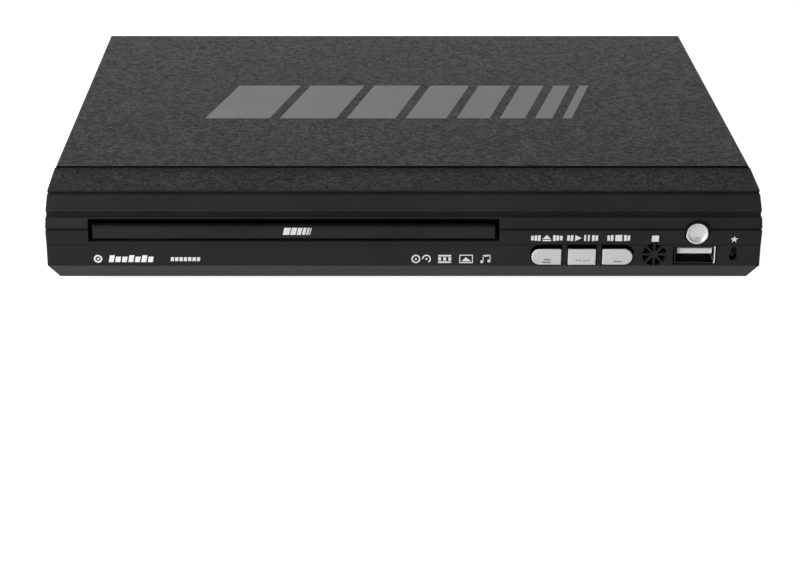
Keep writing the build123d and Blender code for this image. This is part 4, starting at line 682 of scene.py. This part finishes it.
for node, width in (("front_panel", 0.2), ("tray_door", 0.15), ("open_button", 0.35),
                    ("play_button", 0.35), ("stop_button", 0.35), ("top_cover", 0.12),
                    ("disc_tray", 0.25)):
    soften(node, width)
print("edges rounded")

# %% [markdown]
# Printed marks are thin slabs that lie on their surface. Each is an outline, a row of points in
# the plane of the surface, that is given a top and a thin side. A plane is kept as a point on it
# and the directions that count as right, up and out of the print.

# %% Slabs on a plane
print_thick = 0.04
print_sunk = 0.02


def plane_at(origin, right=(1, 0, 0), up=(0, 0, 1)):
    """A plane as its origin and two unit directions, with the normal that points out of it."""
    right = np.array(right, dtype=float)
    up = np.array(up, dtype=float)
    up /= np.linalg.norm(up)
    return np.array(origin, dtype=float), right, up, np.cross(right, up)


def slab(outline, plane, thick=print_thick):
    """A prism over an outline (n, 2): each point times right and up, from just below the plane."""
    origin, right, up, out = plane
    flat = origin + np.outer(outline[:, 0], right) + np.outer(outline[:, 1], up)
    n = len(outline)
    points = np.concatenate([flat - out * print_sunk, flat + out * thick])
    ring = np.arange(n)
    sides = np.stack([ring, (ring + 1) % n, (ring + 1) % n + n, ring + n], -1).tolist()
    return points, sides + [(ring + n).tolist(), ring[::-1].tolist()]


def ring_slab(centre, inner, outer, plane, start=0.0, turn=360.0, steps=40):
    """A ring or an arc: radius inner and outer at each angle, as a closed band of four edges."""
    origin, right, up, out = plane
    angle = np.radians(np.linspace(start, start + turn, steps + 1))
    ray = np.outer(np.cos(angle), right) + np.outer(np.sin(angle), up)
    middle = origin + centre[0] * right + centre[1] * up
    rows = [middle + ray * inner - out * print_sunk, middle + ray * inner + out * print_thick,
            middle + ray * outer + out * print_thick, middle + ray * outer - out * print_sunk]
    points = np.stack(rows, 1).reshape(-1, 3)
    faces = grid_faces(steps + 1, 4, wrap=True)[:, ::-1].tolist()
    caps = [[0, 1, 2, 3], [4 * steps + 3, 4 * steps + 2, 4 * steps + 1, 4 * steps]]
    return points, faces + caps


def gather(parts):
    """Join several sets of points and faces into one."""
    points = np.concatenate([part[0] for part in parts])
    starts = np.cumsum([0] + [len(part[0]) for part in parts[:-1]])
    faces = [np.add(face, start).tolist() for part, start in zip(parts, starts) for face in part[1]]
    return points, faces


# %% [markdown]
# A few outlines are enough for every sign. One function joins the slabs of a print and dresses
# them in the finish of the print.

# %% Outlines and printed pieces
def bar(x0, y0, x1, y1, slant=0.0):
    """A rectangle's outline; slant moves its top edge to the right."""
    return np.array([(x0, y0), (x1, y0), (x1 + slant, y1), (x0 + slant, y1)])


def bars(rows, plane, thick=print_thick):
    """Slabs over rectangles, each given as for bar."""
    return [slab(bar(*row), plane, thick) for row in rows]


def disc(x, y, radius, steps=28):
    """A circle's outline: the cosine and sine of an even row of angles."""
    angle = np.linspace(0, 2 * np.pi, steps, endpoint=False)
    return np.stack([x + radius * np.cos(angle), y + radius * np.sin(angle)], -1)


def star(x, y, rays, inner, outer):
    """A star's outline: the radius jumps between outer and inner at each half step."""
    angle = np.pi / 2 + np.arange(2 * rays) * np.pi / rays
    radius = np.where(np.arange(2 * rays) % 2 == 0, outer, inner)
    return np.stack([x + radius * np.cos(angle), y + radius * np.sin(angle)], -1)


def printed(name, parts, look, body="case"):
    """One piece from several slabs, with the finish of its print and the body that it moves with."""
    points, faces = gather(parts)
    piece = new_piece(name, points, faces, finish[look], body, smooth=False)
    print(name, len(piece.data.polygons), "faces")


# %% [markdown]
# The large print on the cover is a row of slanted bars that grow narrower to the right: a plain
# pattern that says nothing, in the grey and the size that such prints have. A like row, much
# smaller and pale, sits in the middle of the drawer's door.

# %% Slanted bars on the cover and the door
bar_gap = 0.28
widest, narrowest = 1.75, 0.25


def slanted_bars(width, height, slant, count, plane):
    """Bars whose widths fall evenly from left to right, with even gaps, all over width."""
    share = np.linspace(widest, narrowest, count)
    unit = width / (share.sum() + bar_gap * (count - 1))
    starts = np.concatenate([[0], np.cumsum(share[:-1] + bar_gap)]) * unit
    return bars([(x, 0, x + w * unit, height, slant) for x, w in zip(starts, share)], plane, 0.03)


cover_print = plane_at((-69.0, -19.0, top_z), up=(0, 1, 0))
printed("cover_bars", slanted_bars(130.0, 40.0, 10.0, 8, cover_print), "print_grey")
door_middle = (door_low[2] + door_high[2]) / 2
door_print = plane_at((-38.9, door_low[1], door_middle - 1.2))
printed("door_bars", slanted_bars(8.8, 2.4, 0.6, 6, door_print), "print_pale", "drawer")

# %% [markdown]
# Words are left off, and their places carry plain signs. Over the keys stand the usual ones for
# open, play with pause, and stop, each with a few bars at its sides. They lie on the slanted
# facet, so their plane leans back as the facet does.

# %% Signs over the keys
facet_up = facet_top - facet_bottom
facet_plane = plane_at((0, facet_bottom[0], facet_bottom[1]), up=(0, facet_up[0], facet_up[1]))
face_plane = plane_at((0, face_y, 0))
open_x, play_x, stop_x = 46.0, 57.4, 69.1
window_x, lamp_sign_x = 79.8, 106.3
side_step = 1.1
side_width = 0.85
side_halves = (1.05, 0.95, 0.85)


def sign_height(z):
    """How far up the facet a height lies."""
    return (z - facet_bottom[1]) / (facet_top[1] - facet_bottom[1]) * np.linalg.norm(facet_up)


def key_signs():
    """Open: a wedge over a line. Play and pause: a wedge and two lines. Stop: a square."""
    low = sign_height(17.1)
    high = sign_height(19.3)
    middle = (low + high) / 2
    up_wedge = np.array([(open_x - 1.4, low + 0.75), (open_x + 1.4, low + 0.75), (open_x, high)])
    side_wedge = np.array([(play_x - 2.3, low), (play_x - 0.2, middle), (play_x - 2.3, high)])
    parts = [slab(up_wedge, facet_plane), slab(side_wedge, facet_plane)]
    rows = [(open_x - 1.4, low, open_x + 1.4, low + 0.45), (play_x + 0.6, low, play_x + 1.2, high),
            (play_x + 1.8, low, play_x + 2.4, high), (stop_x - 1.1, low, stop_x + 1.1, high)]
    for x, near, count in ((open_x, 2.0, 3), (play_x + 0.1, 3.0, 2), (stop_x, 1.7, 2)):
        for step, half in zip(near + side_step * np.arange(count), side_halves):
            rows += [(left, middle - half, left + side_width, middle + half)
                     for left in (x + step, x - step - side_width)]
    return parts + bars(rows, facet_plane)


def small_signs():
    """A square over the receiver's window, and a star over the lamp."""
    square = bars([(window_x, sign_height(16.9), window_x + 2.2, sign_height(19.1))], facet_plane)
    return square + [slab(star(lamp_sign_x, sign_height(17.7), 5, 0.5, 1.25), facet_plane)]


printed("key_signs", key_signs(), "print_white")
printed("small_signs", small_signs(), "print_white")

# %% [markdown]
# The lower face is upright and carries three rows: a ring with leaning bars at the left, a row of
# small equal bars, and small signs for the kinds of disc and file. All stay within a height of
# three millimetres, as such print does.

# %% Signs on the lower face
row_z = 10.85
badge_x = -98.6
badge_z = 10.9
badge_low = 9.75


def maker_place():
    """A ring with a dot, then leaning bars of two heights."""
    rows = [(x, badge_low, x + 1.6, badge_low + height, height * 0.2)
            for x, height in zip(np.arange(7) * 2.1 - 95.2, (2.4, 1.9, 1.9, 2.4, 1.9, 2.4, 1.9))]
    ring = ring_slab((badge_x, badge_z), 0.85, 1.35, face_plane)
    return [ring, slab(disc(badge_x, badge_z, 0.4), face_plane)] + bars(rows, face_plane)


def model_place():
    """A row of small equal bars where the front carries its second line."""
    return bars([(x, 10.1, x + 1.05, 11.45, 0.15) for x in np.linspace(-75.2, -66.8, 7)], face_plane)


def format_signs():
    """Two discs, a film strip, a picture and two notes, each about three millimetres high."""
    parts = [slab(disc(x, row_z, 0.35), face_plane) for x in (4.0, 7.4)]
    parts += [ring_slab((4.0, row_z), 1.0, 1.45, face_plane),
              ring_slab((7.4, row_z), 1.0, 1.45, face_plane, -60, 240)]
    left, right = 11.2, 15.4
    rows = [(left, row_z - 1.4, right, row_z - 0.85), (left, row_z + 0.85, right, row_z + 1.4)]
    rows += [(x, row_z - 0.6, x + 0.9, row_z + 0.6) for x in np.linspace(left, right - 0.9, 3)]
    left, right = 18.0, 22.4
    rows += [(left, row_z - 1.45, right, row_z - 1.15), (left, row_z + 1.15, right, row_z + 1.45),
             (left, row_z - 1.15, left + 0.3, row_z + 1.15), (right - 0.3, row_z - 1.15, right, row_z + 1.15),
             (25.55, row_z - 0.95, 25.8, row_z + 1.2), (27.85, row_z - 0.7, 28.1, row_z + 1.4)]
    hill = np.array([(18.7, row_z - 0.85), (21.8, row_z - 0.85), (20.1, row_z + 0.6)])
    beam = np.array([(25.55, row_z + 0.75), (28.1, row_z + 0.95), (28.1, row_z + 1.5), (25.55, row_z + 1.3)])
    outlines = [hill, beam, disc(25.3, row_z - 0.95, 0.5), disc(27.6, row_z - 0.7, 0.5)]
    return parts + bars(rows, face_plane) + [slab(outline, face_plane) for outline in outlines]


printed("disc_sign_row", maker_place(), "print_white")
printed("dot_row", model_place(), "print_pale")
printed("format_signs", format_signs(), "print_pale")

# %% [markdown]
# Under the star a shallow upright slot runs down to the lamp's hole. It is so shallow that a thin
# dark slab stands for it, painted with the shade of the slot: straight sides under half a circle.

# %% Slot over the lamp
lamp_low, lamp_high = box_mm("status_lamp")
lamp_x = (lamp_low[0] + lamp_high[0]) / 2
slot_bottom, slot_top, slot_half = 12.6, 15.2, 0.85
turn = np.linspace(0, np.pi, 9)
cap = np.stack([lamp_x + slot_half * np.cos(turn), slot_top - slot_half + slot_half * np.sin(turn)], -1)
outline = np.concatenate([[(lamp_x + slot_half, slot_bottom)], cap, [(lamp_x - slot_half, slot_bottom)]])
printed("lamp_slot_shade", [slab(outline, face_plane, 0.03)], "print_and_shade_black")

# %% [markdown]
# The heads of the screws that show at the rear have a cross pressed into them, drawn as a thin dark
# slab painted with the shade of the recess. The heads are found in the solid of the screws itself:
# points behind the cover's rear, in two rows, each split into groups along X.

# %% Crosses on the rear screws
screws = nodes["screws"]
flat = np.empty(len(screws.data.vertices) * 3)
screws.data.vertices.foreach_get("co", flat)
world = np.array(screws.matrix_world)
spots = (flat.reshape(-1, 3) @ world[:3, :3].T + world[:3, 3]) / MM
behind_cover = 0.4
apart = 4.0
arm, half_arm = 1.3, 0.3
heads = spots[spots[:, 1] > cover_high[1] + behind_cover]
row_split = (cover_high[2] + panel_low[2]) / 2
groups = []
for row in (heads[heads[:, 2] < row_split], heads[heads[:, 2] >= row_split]):
    row = row[np.argsort(row[:, 0])]
    groups += np.split(row, np.flatnonzero(np.diff(row[:, 0]) > apart) + 1)
cross_parts = []
for head in groups:
    x, z = (head[:, axis].min() / 2 + head[:, axis].max() / 2 for axis in (0, 2))
    plane = plane_at((x, head[:, 1].max(), z), (-1, 0, 0))
    cross_parts += bars([(-arm, -half_arm, arm, half_arm)], plane, 0.03)
    cross_parts += bars([(-half_arm, -arm, half_arm, arm)], plane)
printed("screw_crosses", cross_parts, "print_and_shade_black")
print("screws seen at the rear:", len(groups))

# %% [markdown]
# The rear wall has print as well: rings over the three round sockets, two bars over the flat one,
# and a bare pale label with a few plain bars on the free part of the wall.

# %% Print on the rear wall
wall_y = box_mm("rear_panel")[1][1]
liner_low, liner_high = box_mm("phono_liners")
flat_low, flat_high = box_mm("digital_socket")
wall_plane = plane_at((0, wall_y, 0), (-1, 0, 0))
sign_z = 25.1
liner_radius = (liner_high[2] - liner_low[2]) / 2
liner_x = np.linspace(liner_low[0] + liner_radius, liner_high[0] - liner_radius, 3)
rear_parts = [ring_slab((-x, sign_z), 0.5, 0.9, wall_plane, steps=24) for x in liner_x]
flat_x = (flat_low[0] + flat_high[0]) / 2
rear_parts += bars([(-flat_x - 3.0, sign_z - 6.4, -flat_x + 3.0, sign_z - 5.9),
                    (-flat_x - 2.0, sign_z - 5.4, -flat_x + 2.0, sign_z - 4.9)], wall_plane)
printed("rear_signs", rear_parts, "print_and_shade_black")
label_left, label_right, label_low, label_high = 57.0, 79.0, 11.0, 22.0
label = bars([(label_left, label_low, label_right, label_high)], wall_plane, 0.05)
printed("rear_label", label, "print_white")
widths = np.array([0.9, 0.4, 0.6, 0.3, 1.0, 0.4, 0.7, 0.3, 0.5, 0.9])
starts = label_left + 2.0 + np.cumsum(widths + 0.9) - widths
rows = [(x, label_low + 1.5, x + width, label_low + 5.5) for x, width in zip(starts, widths)]
rows.append((label_left + 2.0, label_high - 2.6, label_right - 8.0, label_high - 1.9))
printed("label_bars", bars(rows, wall_plane, 0.08), "print_and_shade_black")
print("rear wall at", round(float(wall_y), 2))

# %% [markdown]
# The keys carry small marks pressed in near their lower edge. At this size a dark, very thin slab,
# painted with the shade of a recess, does the same job as a real recess, and it rides on its key so
# that it moves when pressed.

# %% Marks on the key caps
mark_z = 10.25
cap_marks = {
    "open": [(-1.0, 0.25, 1.2, 0.75, 0.35), (-1.3, -0.65, 1.4, -0.2)],
    "play": [(-2.3, 0.1, -1.4, 0.4, 0.3), (-0.8, 0.1, -0.3, 0.6, 0.2), (0.5, -0.1, 1.2, 0.2),
             (1.6, 0.1, 2.3, 0.4, 0.2)],
    "stop": [(-1.3, -0.35, 1.5, 0.05)],
}
for key, rows in cap_marks.items():
    low, high = box_mm(f"{key}_button")
    plane = plane_at(((low[0] + high[0]) / 2, low[1], mark_z))
    printed(f"{key}_mark", bars(rows, plane, 0.03), "key_recess_shade", f"{key}_key")

# %% [markdown]
# The power key is turned as on a lathe: a profile of radius and depth goes once round its axis.
# The face is dished inside a raised rim, which lights up while the middle stays darker. The new
# piece stands for the plain solid and fills the same space.

# %% Power key as a turned cap
def turned(profile, centre, steps=72):
    """Carry a profile (n, 2) of radius and depth round an axis along Y.

    At each angle, x and z are the centre plus the radius times the cosine and the sine."""
    angle = np.linspace(0, 2 * np.pi, steps, endpoint=False)
    radius, depth = profile.T
    x = centre[0] + np.outer(radius, np.cos(angle))
    z = centre[1] + np.outer(radius, np.sin(angle))
    points = np.stack([x, np.broadcast_to(depth[:, None], x.shape), z], -1).reshape(-1, 3)
    quads = grid_faces(len(profile), steps, wrap=True)[:, ::-1].tolist()
    ring = np.arange(steps)
    last = ring + len(points) - steps
    return points, quads + [ring.tolist(), last[::-1].tolist()]


power_low, power_high = box_mm("power_button")
power_centre = np.array([(power_low[0] + power_high[0]) / 2, (power_low[2] + power_high[2]) / 2])
cap_radius = 3.7
rim_radius = 0.5
flange_radius = 4.6
rim = np.linspace(0, np.pi / 2, 7)
dish = np.array([(0.02, 0.62), (1.6, 0.6), (2.5, 0.5), (2.75, 0.38), (2.95, 0.12), (3.05, 0.02)])
edge = np.stack([cap_radius - rim_radius * (1 - np.sin(rim)), rim_radius * (1 - np.cos(rim))], -1)
back = power_high[1] - power_low[1]
flange = np.array([(cap_radius, back - 0.9), (flange_radius - 0.05, back - 0.85),
                   (flange_radius, back - 0.75), (flange_radius, back - 0.05),
                   (flange_radius - 0.1, back), (0.02, back)])
profile = np.concatenate([dish, edge, flange])
profile[:, 1] += power_low[1]
print("power key profile points:", len(profile))

# %% [markdown]
# Its silver lacquer has faint circular marks, as a face turned on a lathe has. A noise that reads
# only the distance from the key's axis makes them, and the face is a little darker than its rim.

# %% Finish of the power key
def turned_finish():
    """Silver lacquer: noise by the square root of x squared plus z squared, from the key's axis."""
    material, tree, shader, place = start_finish("turned_silver", (0.62, 0.62, 0.63), 0.3, metallic=0.55)
    axis = (-power_centre[0] * MM, 0, -power_centre[1] * MM)
    mapping = fill(tree.nodes.new("ShaderNodeMapping"), Vector=place, Location=axis)
    where = parts_of(tree, mapping.outputs["Vector"])
    square = math_node(tree, "ADD", math_node(tree, "MULTIPLY", where["X"], where["X"]),
                       math_node(tree, "MULTIPLY", where["Z"], where["Z"]))
    distance = math_node(tree, "SQRT", square)
    rings = fill(tree.nodes.new("ShaderNodeCombineXYZ"), X=distance)
    marks = noise_node(tree, rings.outputs[0], 9000.0, 3.0)
    group = use_group(tree, fine_grain, place, Scale=3500.0)
    inner = math_node(tree, "LESS_THAN", distance, 2.8 * MM)
    light = mix_node(tree, group["Clouds"], (0.64, 0.64, 0.65), (0.74, 0.74, 0.75))
    feed(shader, mix_node(tree, inner, light, (0.6, 0.6, 0.61)), between(tree, marks, 0.22, 0.42))
    add_bump(tree, shader, group["Grain"], 0.3, 0.00003)
    return material


points, faces = turned(profile, power_centre)
power_cap = new_piece("power_cap", points, faces, turned_finish(), "power_key")
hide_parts("power_button")
print("power key faces:", len(faces))

# %% [markdown]
# Over the key the shade in its hole is painted as a dark crescent, which is a thin slab between two
# arcs, and one small mark lies low on the cap.

# %% Crescent and mark of the power key
around = np.radians(np.linspace(-8, 188, 41))
gap_radius, gap_rise, gap_inner = 4.25, 0.5, 3.6
gap_out = np.stack([gap_radius * np.cos(around), gap_rise + gap_radius * np.sin(around)], -1)
gap_in = np.stack([gap_inner * np.cos(around), gap_inner * np.sin(around)], -1)[::-1]
gap_plane = plane_at((power_centre[0], front_y, power_centre[1]))
printed("power_gap_shade", [slab(np.concatenate([gap_out, gap_in]), gap_plane, 0.03)], "print_and_shade_black")
cap_plane = plane_at((power_centre[0], power_low[1] + 0.6, power_centre[1]))
printed("power_mark", bars([(-0.9, -1.9, 0.9, -1.5, 0.2)], cap_plane, 0.03), "key_recess_shade", "power_key")

# %% [markdown]
# Light comes from soft lamps above, in front, at the left and low behind, and from the pale room.
# The lamp behind skims the cover and lets its grain show. The floor glows a little, for the camera
# and for reflections only, so that it stays white and keeps a faint shadow at the player's foot.

# %% Floor, lamps and world
def pale_floor():
    """Pale paint, and a glow that only the camera and mirrors see."""
    material = bpy.data.materials.new("pale_floor")
    material.use_nodes = True
    tree = material.node_tree
    tree.nodes.clear()
    path = tree.nodes.new("ShaderNodeLightPath").outputs
    seen = math_node(tree, "MAXIMUM", path["Is Camera Ray"], path["Is Glossy Ray"])
    seen = math_node(tree, "MAXIMUM", seen, path["Is Transmission Ray"])
    paint = fill(tree.nodes.new("ShaderNodeBsdfDiffuse"), Color=(0.32, 0.32, 0.32))
    glow = fill(tree.nodes.new("ShaderNodeEmission"), Strength=math_node(tree, "MULTIPLY", seen, 0.95))
    both = tree.nodes.new("ShaderNodeAddShader")
    give(both.inputs[0], paint.outputs[0])
    give(both.inputs[1], glow.outputs[0])
    fill(tree.nodes.new("ShaderNodeOutputMaterial"), Surface=both.outputs[0])
    return material


bpy.ops.mesh.primitive_plane_add(size=6.0, location=(0, 0, -0.0002))
floor = bpy.context.object
floor.name = "studio_floor"
floor.data.materials.append(pale_floor())


def soft_lamp(name, place, aim, size, power):
    """A square lamp that looks from one point to another."""
    data = bpy.data.lights.new(name, "AREA")
    data.shape = "RECTANGLE"
    data.size, data.size_y = size
    data.energy = power
    lamp = bpy.data.objects.new(name, data)
    bpy.context.scene.collection.objects.link(lamp)
    lamp.location = place
    lamp.rotation_euler = (Vector(aim) - Vector(place)).to_track_quat("-Z", "Y").to_euler()


soft_lamp("top_lamp", (0.0, 0.3, 1.2), (0, 0, 0), (1.4, 1.0), 1.5)
soft_lamp("front_lamp", (-0.75, -1.0, 0.5), (0, 0, 0.02), (0.8, 0.6), 6.7)
soft_lamp("left_lamp", (-0.9, -0.5, 0.4), (-0.05, -0.05, 0.02), (0.6, 0.4), 9.4)
soft_lamp("back_lamp", (-0.1, 1.5, 0.22), (0, 0.05, 0), (1.8, 0.25), 5.8)
world = bpy.data.worlds.new("white_room")
bpy.context.scene.world = world
world.use_nodes = True
tree = world.node_tree
path = tree.nodes.new("ShaderNodeLightPath").outputs
seen = math_node(tree, "MAXIMUM", path["Is Camera Ray"], path["Is Transmission Ray"])
fill(tree.nodes["Background"], Color=(1, 1, 1), Strength=between(tree, seen, 0.28, 1.0))
bpy.context.scene.view_settings.view_transform = "Standard"
print("lamps: 4")
